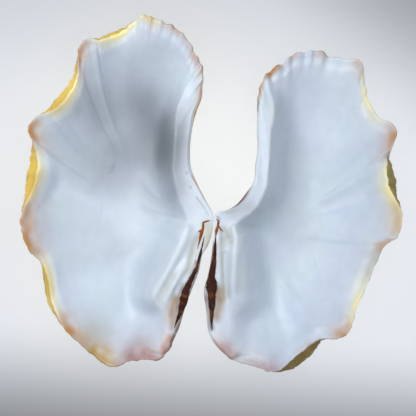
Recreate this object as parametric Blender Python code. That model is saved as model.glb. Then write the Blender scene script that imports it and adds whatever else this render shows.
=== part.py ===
"""A giant clam shell: its two valves laid open side by side, hollow side up, hinges together.

Each valve is one closed form. A sphere's equator becomes the lip of the valve, its upper half
the smooth hollow with the hinge plate and teeth, and its lower half the ribbed outside with
rows of scutes, which close on the beak. All lengths are in metres, +Z is up, and each valve
stands on the worn crests of its lowest ribs.
"""

from dataclasses import dataclass

import bmesh
import bpy
import numpy as np
from mathutils.bvhtree import BVHTree

MM = 0.001

# The whole pair
LIP_HEIGHT = 50 * MM
LOBE_RISE = 6 * MM
HINGE_X = 2.2 * MM
HINGE_Y = -12.6 * MM

# The hollow
WALL = 7.5 * MM
WALL_START = 14 * MM
EDGE_WIDTH = 8 * MM
RIM_STEEPNESS = 2.2
RIM_BLEND = 5 * MM
RIM_FULL = 10 * MM
PLATE_DROP = 1.5 * MM

# The outside
BEAK_HEIGHT = 21 * MM
BELLY_DROP = 22.5 * MM
BELLY_POWER = 1.35
LONGEST_RAY = 105 * MM
RIB_HEIGHT = 7 * MM
RIB_SWELL = 1.3
VALLEY_SHARE = 0.5
VALLEY_END = (0.55, 0.95)
CALM_REACH = (0.8 * MM, 2.5 * MM)
LIP_THICKNESS = 3.2 * MM
BEVEL_SLOPE = 1.0
SCUTE_HEIGHT = 4.2 * MM
SCUTE_ROWS = (0.28, 0.43, 0.58, 0.72, 0.84, 0.94)
SCUTE_LEAN = 0.014
SCUTE_FOOT = 0.008
SCUTE_FULL = 90 * MM
WORN_BELOW = 6 * MM

# The mesh of one valve
COLUMNS = 72
BOWL_ROWS = (1.0, 0.8, 0.62, 0.46, 0.32, 0.2, 0.1)
RIM_ROWS = (1.0, 0.7, 0.4, 0.12, 0.0)
LIP_STEPS = 2000

# The ligament, torn along the hinge
LIGAMENT_RADIUS = 1.5 * MM
LIGAMENT_GAP = 0.35 * MM
LIGAMENT_SWELL = (0.45, 1.0)
LIGAMENT_FEELER = 1.6 * LIGAMENT_RADIUS
HIGH_ABOVE = 1.0


@dataclass
class Valve:
    """One half of the shell, measured from the hinge point: out from the hinge, and up it."""

    name: str
    side: int
    middle: tuple
    beak: tuple
    fan_edge: float
    fan_spread: float
    stations: tuple
    teeth: tuple
    ligament: tuple


# Each station of the lip, in mm: out, up, fold (1 on a lobe, -1 at a rib's end),
# how far the scutes reach past the lip, and how wide the flat rim is inside it.
# The stations run from the hinge point along the byssal side, round and back up the hinge.
LEFT = Valve(
    name="left_valve",
    side=-1,
    middle=(44.0, 35.0),
    beak=(19.0, -2.0),
    fan_edge=162.0,
    fan_spread=2.8,
    stations=(
        (0.8, 0.0, 0.0, 0.0, 24),
        (6.0, 9.0, 0.0, 0.3, 19),
        (12.5, 21.5, -0.1, 0.6, 13),
        (16.0, 31.0, -0.3, 0.6, 10.5),
        (16.5, 43.0, -0.4, 0.6, 9),
        (15.5, 54.5, -0.4, 0.8, 10),
        (13.5, 66.5, -0.3, 1.5, 11),
        (9.5, 76.0, -0.2, 1.2, 11),
        (8.5, 86.0, 0.0, 0.8, 8),
        (9.0, 95.0, 0.1, 0.8, 4),
        (13.0, 102.5, 0.1, 0.8, 1.5),
        (18.0, 112.0, 0.1, 0.8, 0.5),
        (25.5, 119.5, 0.1, 0.8, 0),
        (33.0, 123.0, 0.1, 0.8, 0),
        (40.5, 126.0, 0.1, 0.8, 0),
        (46.0, 127.5, 0.1, 0.8, 0),
        (53.5, 123.5, -0.5, 2.0, 0),
        (60.0, 119.5, -0.8, 3.0, 0),
        (67.5, 115.5, -0.5, 3.5, 0),
        (75.0, 112.5, 0.2, 2.5, 0),
        (80.5, 113.0, 0.7, 1.0, 0),
        (86.0, 109.0, 1.0, 0.8, 0),
        (88.0, 102.0, 0.6, 1.2, 0),
        (89.0, 91.0, -0.3, 3.5, 0),
        (93.0, 81.5, -0.8, 5.0, 0),
        (100.0, 72.0, -1.0, 5.5, 0),
        (108.0, 66.5, -0.5, 2.8, 0),
        (115.0, 62.5, 0.5, 1.0, 0),
        (119.5, 55.0, 1.0, 0.8, 0),
        (117.5, 47.0, 0.4, 1.5, 0),
        (115.5, 37.5, -0.7, 5.8, 0),
        (116.0, 27.5, -1.0, 7.2, 0),
        (118.0, 17.0, -0.7, 6.2, 0),
        (122.0, 6.5, 0.3, 3.5, 0),
        (124.5, -2.5, 0.9, 1.0, 0),
        (123.5, -13.0, 1.0, 0.8, 0),
        (119.0, -23.5, 0.5, 0.8, 0),
        (113.0, -31.0, -0.3, 1.5, 0),
        (109.0, -42.0, -0.9, 3.2, 0),
        (106.5, -54.5, -0.8, 3.4, 0),
        (102.5, -64.5, 0.2, 3.0, 0),
        (96.0, -74.0, 1.0, 1.0, 0),
        (88.0, -82.5, 0.5, 1.0, 0),
        (79.5, -91.0, -0.5, 1.6, 0),
        (71.5, -97.5, -0.6, 1.6, 0),
        (65.5, -99.0, -0.3, 1.2, 0),
        (56.5, -95.5, 0.4, 1.0, 0),
        (47.0, -93.5, 0.8, 1.0, 0),
        (36.5, -93.0, 1.0, 1.6, 1),
        (30.0, -87.0, 0.6, 1.2, 4),
        (24.5, -75.5, 0.1, 1.0, 10),
        (20.0, -61.0, 0.0, 1.0, 17),
        (16.0, -50.0, 0.0, 1.0, 20),
        (11.0, -37.5, 0.0, 0.8, 21),
        (8.5, -27.0, 0.0, 0.5, 18.5),
        (5.0, -21.5, 0.0, 0.3, 18),
        (2.5, -16.0, 0.0, 0.0, 18),
        (0.9, -8.5, 0.0, 0.0, 20),
    ),
    teeth=(
        ((17.0, -10.0), (22.0, -18.0), (27.0, -28.0), (33.0, -39.5), (40.5, -54.0)),
        ((17.0, -31.0), (23.5, -39.5), (28.5, -48.0), (33.0, -57.0)),
    ),
    ligament=((6.0, -10.0), (8.0, -17.0), (10.5, -26.5), (13.5, -35.5), (17.5, -44.0),
              (20.5, -52.0), (23.0, -60.0), (26.0, -68.0), (28.0, -74.0)),
)

RIGHT = Valve(
    name="right_valve",
    side=1,
    middle=(55.0, 10.5),
    beak=(22.0, -4.0),
    fan_edge=178.0,
    fan_spread=2.8,
    stations=(
        (0.8, 0.0, 0.0, 0.0, 25),
        (9.0, 2.5, 0.0, 0.3, 18),
        (16.0, 7.0, 0.0, 0.5, 12),
        (22.5, 15.0, -0.1, 0.6, 8),
        (26.5, 21.5, -0.2, 0.6, 7.5),
        (27.5, 32.0, -0.4, 0.6, 8),
        (29.0, 43.0, -0.4, 0.6, 9),
        (28.5, 56.0, -0.3, 0.6, 10.5),
        (29.0, 66.5, -0.2, 0.8, 11),
        (29.0, 76.0, 0.0, 0.8, 9),
        (32.0, 86.0, 0.1, 0.8, 4),
        (37.0, 92.5, 0.1, 0.8, 1),
        (45.0, 96.5, 0.1, 0.8, 0),
        (52.0, 102.0, 0.1, 0.8, 0),
        (60.5, 104.0, 0.1, 0.8, 0),
        (67.5, 104.5, 0.1, 0.8, 0),
        (75.5, 101.5, -0.3, 0.8, 0),
        (84.5, 100.0, 0.2, 0.8, 0),
        (92.0, 99.5, 0.9, 0.8, 0),
        (95.5, 95.0, 0.9, 0.8, 0),
        (97.0, 87.0, -0.1, 0.8, 0),
        (99.5, 78.5, -0.8, 1.0, 0),
        (102.5, 70.0, -0.9, 1.0, 0),
        (107.0, 62.5, -0.1, 0.8, 0),
        (113.5, 58.5, 0.7, 0.8, 0),
        (117.0, 52.5, 1.0, 0.8, 0),
        (115.0, 43.5, 0.4, 0.8, 0),
        (112.5, 36.5, -0.5, 2.0, 0),
        (113.0, 27.5, -1.0, 4.2, 0),
        (114.0, 18.0, -0.7, 3.6, 0),
        (117.5, 9.0, 0.2, 2.0, 0),
        (120.5, 0.5, 1.0, 0.8, 0),
        (120.0, -9.0, 0.9, 0.8, 0),
        (117.0, -15.5, 0.4, 0.8, 0),
        (110.0, -21.5, -0.4, 0.8, 0),
        (106.0, -31.0, -1.0, 1.2, 0),
        (102.0, -41.0, -0.9, 1.2, 0),
        (98.0, -50.0, -0.9, 1.2, 0),
        (93.0, -60.0, -0.5, 1.0, 0),
        (89.5, -68.5, 0.4, 0.8, 0),
        (86.0, -76.0, 1.0, 0.8, 0),
        (79.5, -80.0, 0.7, 0.8, 0),
        (71.5, -80.5, -0.1, 1.5, 0),
        (64.5, -84.0, -0.8, 3.0, 0),
        (58.0, -89.5, -1.0, 5.0, 0),
        (50.0, -95.5, -0.7, 6.0, 0),
        (43.0, -100.5, 0.3, 2.6, 0),
        (35.5, -101.0, 1.0, 0.8, 0),
        (26.5, -98.0, 0.4, 0.8, 0),
        (18.0, -96.0, 0.1, 0.8, 0),
        (10.5, -93.0, 0.5, 0.8, 1),
        (4.0, -87.0, 0.8, 0.8, 4),
        (-1.0, -81.0, 0.4, 0.8, 10),
        (-3.5, -74.0, 0.0, 0.8, 18),
        (-4.5, -62.5, 0.0, 0.8, 24),
        (-6.0, -50.5, 0.0, 0.8, 26),
        (-4.0, -41.5, 0.0, 0.5, 25),
        (-2.0, -31.0, 0.0, 0.3, 22),
        (-1.0, -20.0, 0.0, 0.0, 19),
        (0.2, -9.5, 0.0, 0.0, 14),
    ),
    teeth=(
        ((12.0, -8.5), (14.0, -15.0), (15.5, -25.0), (15.0, -38.0), (14.0, -49.0), (15.5, -56.0)),
        ((8.0, -17.0), (6.5, -30.0), (7.0, -42.0), (9.0, -52.0)),
    ),
    ligament=((2.2, -12.0), (1.8, -20.0), (1.0, -31.0), (-0.8, -41.0), (-1.6, -50.0),
              (-1.2, -58.0), (-1.0, -66.0), (-0.8, -74.0)),
)

TOOTH_HEIGHT = 4.0 * MM
TOOTH_WIDTH = 4.2 * MM


def smooth(low, high, value):
    """0 below low, 1 above high, and an S-shaped step between."""
    share = np.clip((value - low) / (high - low), 0.0, 1.0)
    return share * share * (3.0 - 2.0 * share)


def lip_at(valve, turn):
    """The stations' five values on a smooth closed curve, where turn runs once round from 0 to 1."""
    stations = np.array(valve.stations, float) * (MM, MM, 1.0, MM, MM)
    count = len(stations)
    place = (turn % 1.0) * count
    start = np.floor(place).astype(int)
    share = (place - start)[..., None]
    before, here, after, beyond = (stations[(start + step) % count] for step in (-1, 0, 1, 2))
    return 0.5 * (
        2.0 * here
        + (after - before) * share
        + (2.0 * before - 5.0 * here + 4.0 * after - beyond) * share**2
        + (3.0 * here - before - 3.0 * after + beyond) * share**3
    )


def to_fan(valve, plan):
    """Plan points in the growth fan, whose rays start at the hinge and curve towards the byssal side."""
    angle = np.degrees(np.arctan2(plan[..., 0], plan[..., 1]))
    angle = np.where(angle < -90.0, angle + 360.0, angle)
    length = np.linalg.norm(plan, axis=-1)
    ray = np.radians((valve.fan_edge - angle) / (1.0 + valve.fan_spread * length))
    return np.stack((length * np.cos(ray), length * np.sin(ray)), axis=-1)


def from_fan(valve, fan):
    """The plan points of points in the growth fan."""
    ray = np.degrees(np.arctan2(fan[..., 1], fan[..., 0]))
    length = np.linalg.norm(fan, axis=-1)
    angle = np.radians(valve.fan_edge - ray * (1.0 + valve.fan_spread * length))
    return np.stack((length * np.sin(angle), length * np.cos(angle)), axis=-1)


def lip_height(lip):
    """How high the lip runs: up on the lobes, down between them."""
    return LIP_HEIGHT + LOBE_RISE * lip[..., 2]


def outward(valve, turn):
    """The level direction square to the lip, away from the hollow."""
    step = 1e-4
    along = lip_at(valve, turn + step)[..., :2] - lip_at(valve, turn - step)[..., :2]
    along /= np.linalg.norm(along, axis=-1, keepdims=True)
    return np.stack((-along[..., 1], along[..., 0]), axis=-1)


def skirt(valve, turn):
    """The edge of the outermost scutes: a little outside the lip, and below it."""
    lip = lip_at(valve, turn)
    plan = lip[..., :2] + outward(valve, turn) * lip[..., 3:4]
    height = lip_height(lip) - LIP_THICKNESS - BEVEL_SLOPE * lip[..., 3]
    return plan, height


def belly(valve, turn, growth):
    """A point of the outside before its ribs, where growth runs from 0 at the beak to 1 at the skirt."""
    plan, height = skirt(valve, turn)
    beak = np.array(valve.beak) * MM
    fan_beak = to_fan(valve, beak)
    fan = fan_beak + growth[..., None] * (to_fan(valve, plan) - fan_beak)
    length = np.linalg.norm(plan - beak, axis=-1)
    rise = 0.5 * growth**2 + 0.5 * growth**5
    peak = 1.0 / (1.0 + BELLY_POWER)
    left = np.maximum(1.0 - growth, 0.0)
    sag = growth * left**BELLY_POWER / (peak * (1.0 - peak) ** BELLY_POWER)
    drop = BELLY_DROP * np.minimum(length / LONGEST_RAY, 1.0)
    level = BEAK_HEIGHT + (height - BEAK_HEIGHT) * rise - drop * sag
    return np.concatenate((from_fan(valve, fan), level[..., None]), axis=-1)


def outside_point(valve, turn, growth, lift):
    """A point of the outside: the belly, raised along its normal by the ribs and the scutes on them."""
    lip = lip_at(valve, turn)
    rib = -lip[..., 2]
    calm = 1.0 - (1.0 - smooth(*CALM_REACH, lip[..., 3])) * smooth(*VALLEY_END, growth)
    flat = belly(valve, turn, growth)
    from_beak = np.linalg.norm(flat[..., :2] - np.array(valve.beak) * MM, axis=-1)
    size = smooth(0.0, SCUTE_FULL, from_beak) * smooth(0.0, WORN_BELOW, flat[..., 2])
    stand = lift * size * calm * (0.25 + 0.75 * smooth(-0.2, 0.8, rib))
    growth = growth + SCUTE_LEAN * stand
    step = 1e-3
    here = belly(valve, turn, growth)
    across = belly(valve, turn + step, growth) - belly(valve, turn - step, growth)
    along = belly(valve, turn, growth + step) - belly(valve, turn, growth - step)
    normal = np.cross(along, across)
    normal /= np.maximum(np.linalg.norm(normal, axis=-1, keepdims=True), 1e-12)
    crest = np.maximum(rib, 0.0) * (1.0 - 0.5 * smooth(0.9, 1.0, growth))
    valley = np.minimum(rib, 0.0) * VALLEY_SHARE * (1.0 - smooth(*VALLEY_END, growth))
    ridge = RIB_HEIGHT * growth**RIB_SWELL * calm * (crest + valley)
    return here + normal * (ridge + SCUTE_HEIGHT * stand)[..., None]


def tooth_height(valve, plan):
    """How far the hinge teeth stand above the plate at these plan points."""
    height = np.zeros(plan.shape[:-1])
    for tooth in valve.teeth:
        crest = np.array(tooth) * MM
        nearest = np.full(plan.shape[:-1], np.inf)
        for start, end in zip(crest, crest[1:]):
            run = end - start
            share = np.clip(((plan - start) @ run) / (run @ run), 0.0, 1.0)
            gap = np.linalg.norm(plan - (start + share[..., None] * run), axis=-1)
            nearest = np.minimum(nearest, gap)
        height = np.maximum(height, TOOTH_HEIGHT * np.exp(-((nearest / TOOTH_WIDTH) ** 2)))
    return height


def place_on_belly(valve, plan):
    """The turn and the growth of the belly's point above or below each plan point."""
    turn = np.linspace(0.0, 1.0, LIP_STEPS, endpoint=False)
    fan_beak = to_fan(valve, np.array(valve.beak) * MM)
    edge = to_fan(valve, skirt(valve, turn)[0]) - fan_beak
    angle = np.arctan2(edge[:, 1], edge[:, 0])
    order = np.argsort(angle)
    here = to_fan(valve, plan) - fan_beak
    here_angle = np.arctan2(here[..., 1], here[..., 0])
    edge_turn = np.unwrap(turn[order], period=1.0)
    period = 2.0 * np.pi
    whole = np.round(edge_turn[-1] - edge_turn[0])
    angles = np.concatenate(([angle[order][-1] - period], angle[order], [angle[order][0] + period]))
    turns = np.concatenate(([edge_turn[-1] - whole], edge_turn, [edge_turn[0] + whole]))
    here_turn = np.interp(here_angle, angles, turns) % 1.0
    here_edge = to_fan(valve, skirt(valve, here_turn)[0]) - fan_beak
    return here_turn, np.linalg.norm(here, axis=-1) / np.linalg.norm(here_edge, axis=-1)


def belly_level(valve, plan):
    """The height of the belly at these plan points."""
    turn, growth = place_on_belly(valve, plan)
    return belly(valve, turn, np.clip(growth, 0.0, 1.0))[..., 2]


def hollow_point(valve, turn, part, share):
    """A point of the hollow: part 0 runs over the rim as share goes from 0 at the lip to 1, and
    part 1 on from there to the middle of the bowl."""
    lip = lip_at(valve, turn)
    middle = np.array(valve.middle) * MM
    reach = np.linalg.norm(lip[..., :2] - middle, axis=-1)
    rim = np.clip(lip[..., 4], 0.0, 0.7 * reach)
    edge_width = np.maximum(rim, EDGE_WIDTH)
    inward = np.where(part == 0, share * edge_width, edge_width + share * (reach - edge_width))
    plan = lip[..., :2] + (inward / reach)[..., None] * (middle - lip[..., :2])
    height = lip_height(lip)
    flatness = np.clip(rim / RIM_FULL, 0.0, 1.0)
    plate = height - PLATE_DROP * flatness * smooth(0.0, 0.5 * EDGE_WIDTH, inward)
    plate = plate - RIM_STEEPNESS * np.maximum(inward - rim, 0.0)
    at_lip = height - belly_level(valve, lip[..., :2])
    inner = smooth(0.0, WALL_START, inward)
    bowl = belly_level(valve, plan) + at_lip * (1.0 - inner) + WALL * inner
    blend = RIM_BLEND * smooth(0.0, EDGE_WIDTH, inward)
    level = 0.5 * (plate + bowl + np.sqrt((plate - bowl) ** 2 + blend**2))
    level = level + tooth_height(valve, plan) * smooth(0.0, 2.0 * MM, inward)
    return np.concatenate((plan, level[..., None]), axis=-1)


def hollow_rows():
    """The rows of the hollow as (part, share), from the middle of the bowl out to the lip."""
    return [(1, share) for share in BOWL_ROWS] + [(0, share) for share in RIM_ROWS]


def outside_rows():
    """The rows of the outside as (growth, lift), from the skirt in to the beak."""
    rows = []
    for low, high in zip((0.1,) + SCUTE_ROWS, SCUTE_ROWS):
        rows.append((low + 0.45 * (high - low), 0.25))
        rows.append((high, 1.0))
        rows.append((high + SCUTE_FOOT, 0.0))
    rows = [(0.07, 0.0)] + rows
    return rows[::-1]


def valve_points(valve, column, row, columns):
    """The place of each of the sphere's vertices, given its column and its row from the top pole."""
    turn = column / columns
    inner = np.array(hollow_rows())
    inside = len(inner) - 1
    outer = np.array([(1.0, 0.0), *outside_rows(), (0.0, 0.0)])
    part, share = inner[np.minimum(row, inside)].T
    points = hollow_point(valve, turn, part, share)
    growth, lift = outer[np.clip(row - inside - 1, 0, len(outer) - 1)].T
    outer_points = outside_point(valve, turn, growth, lift)
    points = np.where((row > inside)[:, None], outer_points, points)
    points[:, 2] = np.maximum(points[:, 2], 0.0)
    return points


def material(name, colour, roughness):
    made = bpy.data.materials.new(name)
    made.use_nodes = True
    shader = made.node_tree.nodes["Principled BSDF"]
    shader.inputs["Base Color"].default_value = (*colour, 1.0)
    shader.inputs["Roughness"].default_value = roughness
    shader.inputs["Metallic"].default_value = 0.0
    made.diffuse_color = (*colour, 1.0)
    return made


def make_valve(valve, collection):
    rows = len(hollow_rows()) + len(outside_rows()) + 1
    bm = bmesh.new()
    bmesh.ops.create_uvsphere(bm, u_segments=COLUMNS, v_segments=rows, radius=1.0)
    sphere = np.array([vert.co[:] for vert in bm.verts])
    column = np.degrees(np.arctan2(sphere[:, 1], sphere[:, 0])) * COLUMNS / 360.0
    row = np.rint(np.degrees(np.arccos(np.clip(sphere[:, 2], -1, 1))) * rows / 180.0).astype(int)
    points = valve_points(valve, np.rint(column), row, COLUMNS)
    points[:, 0] *= valve.side
    points += (HINGE_X, HINGE_Y, 0.0)
    for vert, point in zip(bm.verts, points):
        vert.co = point
    if bm.calc_volume(signed=True) < 0.0:
        bmesh.ops.reverse_faces(bm, faces=bm.faces)
    mesh = bpy.data.meshes.new(valve.name)
    bm.to_mesh(mesh)
    bm.free()
    mesh.shade_smooth()
    made = bpy.data.objects.new(valve.name, mesh)
    made.data.materials.append(material(valve.name, (0.78, 0.82, 0.85), 0.3))
    collection.objects.link(made)
    return made


def make_ligament(valve, shell, collection):
    """The dried half of the ligament: a strip along the hinge plate, resting just clear of it."""
    tree = BVHTree.FromPolygons(
        [vert.co[:] for vert in shell.data.vertices],
        [poly.vertices[:] for poly in shell.data.polygons],
    )
    name = valve.name.replace("valve", "ligament")
    curve = bpy.data.curves.new(name, "CURVE")
    curve.dimensions = "3D"
    curve.bevel_depth = LIGAMENT_RADIUS
    curve.bevel_resolution = 1
    curve.use_fill_caps = True
    spline = curve.splines.new("POLY")
    spline.points.add(len(valve.ligament) - 1)
    last = len(valve.ligament) - 1
    for index, (out, up) in enumerate(valve.ligament):
        x = HINGE_X + valve.side * out * MM
        y = HINGE_Y + up * MM
        heights = []
        for turn in np.linspace(0.0, 2.0 * np.pi, 8, endpoint=False):
            beside_x = x + LIGAMENT_FEELER * np.cos(turn)
            beside_y = y + LIGAMENT_FEELER * np.sin(turn)
            found = tree.ray_cast((beside_x, beside_y, HIGH_ABOVE), (0.0, 0.0, -1.0))[0]
            if found is not None:
                heights.append(found.z)
        swell = np.sin(np.pi * (index + 0.5) / (last + 1.0))
        radius = LIGAMENT_SWELL[0] + (LIGAMENT_SWELL[1] - LIGAMENT_SWELL[0]) * swell
        spline.points[index].co = (x, y, max(heights) + LIGAMENT_RADIUS * radius + LIGAMENT_GAP, 1.0)
        spline.points[index].radius = radius
    made = bpy.data.objects.new(name, curve)
    made.data.materials.append(material(name, (0.08, 0.03, 0.012), 0.65))
    collection.objects.link(made)
    return made


def main():
    for old in list(bpy.data.objects):
        bpy.data.objects.remove(old)
    collection = bpy.data.collections.new("giant_clam_shell")
    bpy.context.scene.collection.children.link(collection)
    for valve in (LEFT, RIGHT):
        shell = make_valve(valve, collection)
        make_ligament(valve, shell, collection)


main()
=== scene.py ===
import math
from dataclasses import dataclass

import bmesh
import bpy
import numpy as np
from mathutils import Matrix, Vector
from mathutils.bvhtree import BVHTree


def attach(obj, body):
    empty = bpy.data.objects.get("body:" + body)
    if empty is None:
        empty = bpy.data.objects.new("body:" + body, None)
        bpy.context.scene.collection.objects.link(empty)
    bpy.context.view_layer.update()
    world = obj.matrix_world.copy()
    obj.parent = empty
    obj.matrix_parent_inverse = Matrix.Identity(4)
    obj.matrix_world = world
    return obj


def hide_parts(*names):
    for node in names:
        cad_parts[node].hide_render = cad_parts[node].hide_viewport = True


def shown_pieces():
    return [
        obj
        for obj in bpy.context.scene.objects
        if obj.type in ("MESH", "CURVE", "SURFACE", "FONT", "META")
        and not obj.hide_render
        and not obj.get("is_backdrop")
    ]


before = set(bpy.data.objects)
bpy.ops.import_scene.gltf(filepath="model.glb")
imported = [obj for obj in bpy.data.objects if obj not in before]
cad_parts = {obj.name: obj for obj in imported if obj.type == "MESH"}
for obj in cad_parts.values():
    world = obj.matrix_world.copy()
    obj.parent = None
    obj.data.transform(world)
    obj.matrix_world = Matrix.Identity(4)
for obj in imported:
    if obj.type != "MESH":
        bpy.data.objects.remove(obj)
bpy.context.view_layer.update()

bl_info = {
    "name": "Giant Clam Shell",
    "version": (1, 0, 0),
    "blender": (4, 5, 0),
    "location": "3D View > Sidebar > Giant Clam",
    "description": "Builds the two valves of a giant clam shell, their dried ligament and the stage",
    "category": "Add Mesh",
}

MM = 0.001
BODY = "root"

# Where the hinge point is, from the middle of the pair
HINGE_X = 2.2 * MM
HINGE_Y = -12.6 * MM

# The hollow: its rim, the hinge plate with the wall below it, and the bowl
EDGE_WIDTH = 8 * MM
RIM_BLEND = 6 * MM
RIM_ROUNDING = 1.3 * MM
PLATE_DROP = 1.5 * MM
PLATE_CURVE = 40 * MM
WALL_START = 14 * MM
FOOT_BLEND = 0.5
FLUTE_BLUR = 0.5
CAP_ROWS = 15
CAP_DEGREE = 4
CAP_SCALE = 20 * MM

# The lip
LIP_THICKNESS = 3.2 * MM
LIP_EDGE = 0.8 * MM
LIP_ROUNDING = 0.7 * MM
LIP_ROUNDING_WIDTH = 1.6 * MM
BEVEL_SLOPE = 1.0
RIPPLE_FLARE = 0.5
NICK = 0.55 * MM
NICKS_END = 49.0
FLARE_FADE = 12 * MM

# The outside, where growth runs from 0 at the beak to 1 at the skirt
BELLY_POWER = 1.35
LONGEST_RAY = 105 * MM
TUCK = 3.5 * MM
CALM_REACH = (0.8 * MM, 2.5 * MM)
VALLEY_END = (0.55, 0.95)
VALLEY_SHARE = 0.5
SCUTE_ROWS = (0.28, 0.43, 0.58, 0.72, 0.84, 0.94)
SCUTE_LEAN = 0.014
SCUTE_FOOT = 0.008
SCUTE_FULL = 90 * MM
SCUTE_CURVE = 1.74
WORN_BELOW = 6 * MM

# The dried ligament
STRAND_WIDTH = 0.95
STRAND_TALL = 0.45
THIN_STRAND = 1.2 * MM

# The growth sheets of the hollow, in mm apart: coarser than the real ones, so that they show
SHEET_GAP = 1.6

# Painted shade on the floor, darker away from the middle: a level direction, where along it the shade
# starts and is full, and how dark
PAINTED_FLOOR_SHADES = (
    ((-0.06, -1.0, 0.0), 0.09, 0.18, 0.84),
    ((0.0, 1.0, 0.0), 0.05, 0.16, 0.24),
    ((0.72, 0.69, 0.0), 0.11, 0.21, 0.46),
)
FLOOR_SIZE = 3.0

# Each light: its place, the place it points at, its width in metres and its power in watts
KEY = ((-0.22, 0.14, 0.5), (0.0, 0.0, 0.03), 0.24, 2.4)
FILL = ((0.38, -0.12, 0.42), (0.03, 0.0, 0.02), 0.3, 0.8)
OVERHEAD = ((0.0, 0.0, 1.1), (0.0, 0.0, 0.0), 0.9, 1.25)
BACKDROP = ((0.02, 0.02, 0.9), (0.02, 0.02, 0.0), 0.4, 5.5)
COOL_WHITE = (0.95, 0.975, 1.0)
WORLD_STRENGTH = 0.235

CAMERA_PLACE = (-1.9 * MM, -8.7 * MM, 688 * MM)
CAMERA_LENS = 85.0

# The mesh of one valve
COLUMNS = 620
BOWL_ROWS = 30
RIM_ROWS = 24
LIP_ROWS = 5
PLATE_ROWS = 7
SCUTE_STEPS = 10
LIP_STEPS = 4000


@dataclass
class Valve:
    """One half of the shell, measured from the hinge point: out from the hinge, and up it."""

    name: str
    side: int
    middle: tuple
    beak: tuple
    fan_edge: float
    fan_spread: float
    stations: tuple
    ripples: tuple
    plate: tuple
    relief: tuple
    stains: tuple
    marks: tuple
    strands: tuple
    # How much of the olive the outside takes; that colour is partly painted shade.
    olive_and_shade: float
    seed: int


# Each station of the lip, in mm: out, up, fold (1 on a lobe, -1 at a rib's end),
# how far the scutes reach past the lip, and how wide the flat rim is inside it.
# The stations run from the hinge point along the byssal side, round and back up the hinge.
LEFT_STATIONS = (
    (0.8, 0.0, 0.0, 0.0, 24), (6.0, 9.0, 0.0, 0.3, 19), (12.5, 21.5, -0.1, 0.6, 13),
    (16.0, 31.0, -0.3, 0.6, 10.5), (16.5, 43.0, -0.4, 0.6, 9), (15.5, 54.5, -0.4, 0.8, 10),
    (13.5, 66.5, -0.3, 1.5, 11), (9.5, 76.0, -0.2, 1.2, 11), (8.5, 86.0, 0.0, 0.8, 8),
    (9.0, 95.0, 0.1, 0.8, 4), (13.0, 102.5, 0.1, 0.8, 1.5), (18.0, 112.0, 0.1, 0.8, 0.5),
    (25.5, 119.5, 0.1, 0.8, 0), (33.0, 123.0, 0.1, 0.8, 0), (40.5, 126.0, 0.1, 0.8, 0),
    (46.0, 127.5, 0.1, 0.8, 0), (53.5, 123.5, -0.5, 2.0, 0), (60.0, 119.5, -0.8, 3.0, 0),
    (67.5, 115.5, -0.5, 3.5, 0), (75.0, 112.5, 0.2, 2.5, 0), (80.5, 113.0, 0.7, 1.0, 0),
    (86.0, 109.0, 1.0, 0.8, 0), (88.0, 102.0, 0.6, 1.2, 0), (89.0, 91.0, -0.3, 3.5, 0),
    (93.0, 81.5, -0.8, 5.0, 0), (100.0, 72.0, -1.0, 5.5, 0), (108.0, 66.5, -0.5, 2.8, 0),
    (115.0, 62.5, 0.5, 1.0, 0), (119.5, 55.0, 1.0, 0.8, 0), (117.5, 47.0, 0.4, 1.5, 0),
    (115.5, 37.5, -0.7, 5.8, 0), (116.0, 27.5, -1.0, 7.2, 0), (118.0, 17.0, -0.7, 6.2, 0),
    (122.0, 6.5, 0.3, 3.5, 0), (124.5, -2.5, 0.9, 1.0, 0), (123.5, -13.0, 1.0, 0.8, 0),
    (119.0, -23.5, 0.5, 0.8, 0), (113.0, -31.0, -0.3, 1.5, 0), (109.0, -42.0, -0.9, 3.2, 0),
    (106.5, -54.5, -0.8, 3.4, 0), (102.5, -64.5, 0.2, 3.0, 0), (96.0, -74.0, 1.0, 1.0, 0),
    (88.0, -82.5, 0.5, 1.0, 0), (79.5, -91.0, -0.5, 1.6, 0), (71.5, -97.5, -0.6, 1.6, 0),
    (65.5, -99.0, -0.3, 1.2, 0), (56.5, -95.5, 0.4, 1.0, 0), (47.0, -93.5, 0.8, 1.0, 0),
    (36.5, -93.0, 1.0, 1.6, 1), (30.0, -87.0, 0.6, 1.2, 4), (24.5, -75.5, 0.1, 1.0, 10),
    (20.0, -61.0, 0.0, 1.0, 17), (16.0, -50.0, 0.0, 1.0, 20), (11.0, -37.5, 0.0, 0.8, 21),
    (8.5, -27.0, 0.0, 0.5, 18.5), (5.0, -21.5, 0.0, 0.3, 18), (2.5, -16.0, 0.0, 0.0, 18),
    (0.9, -8.5, 0.0, 0.0, 20),
)

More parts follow.
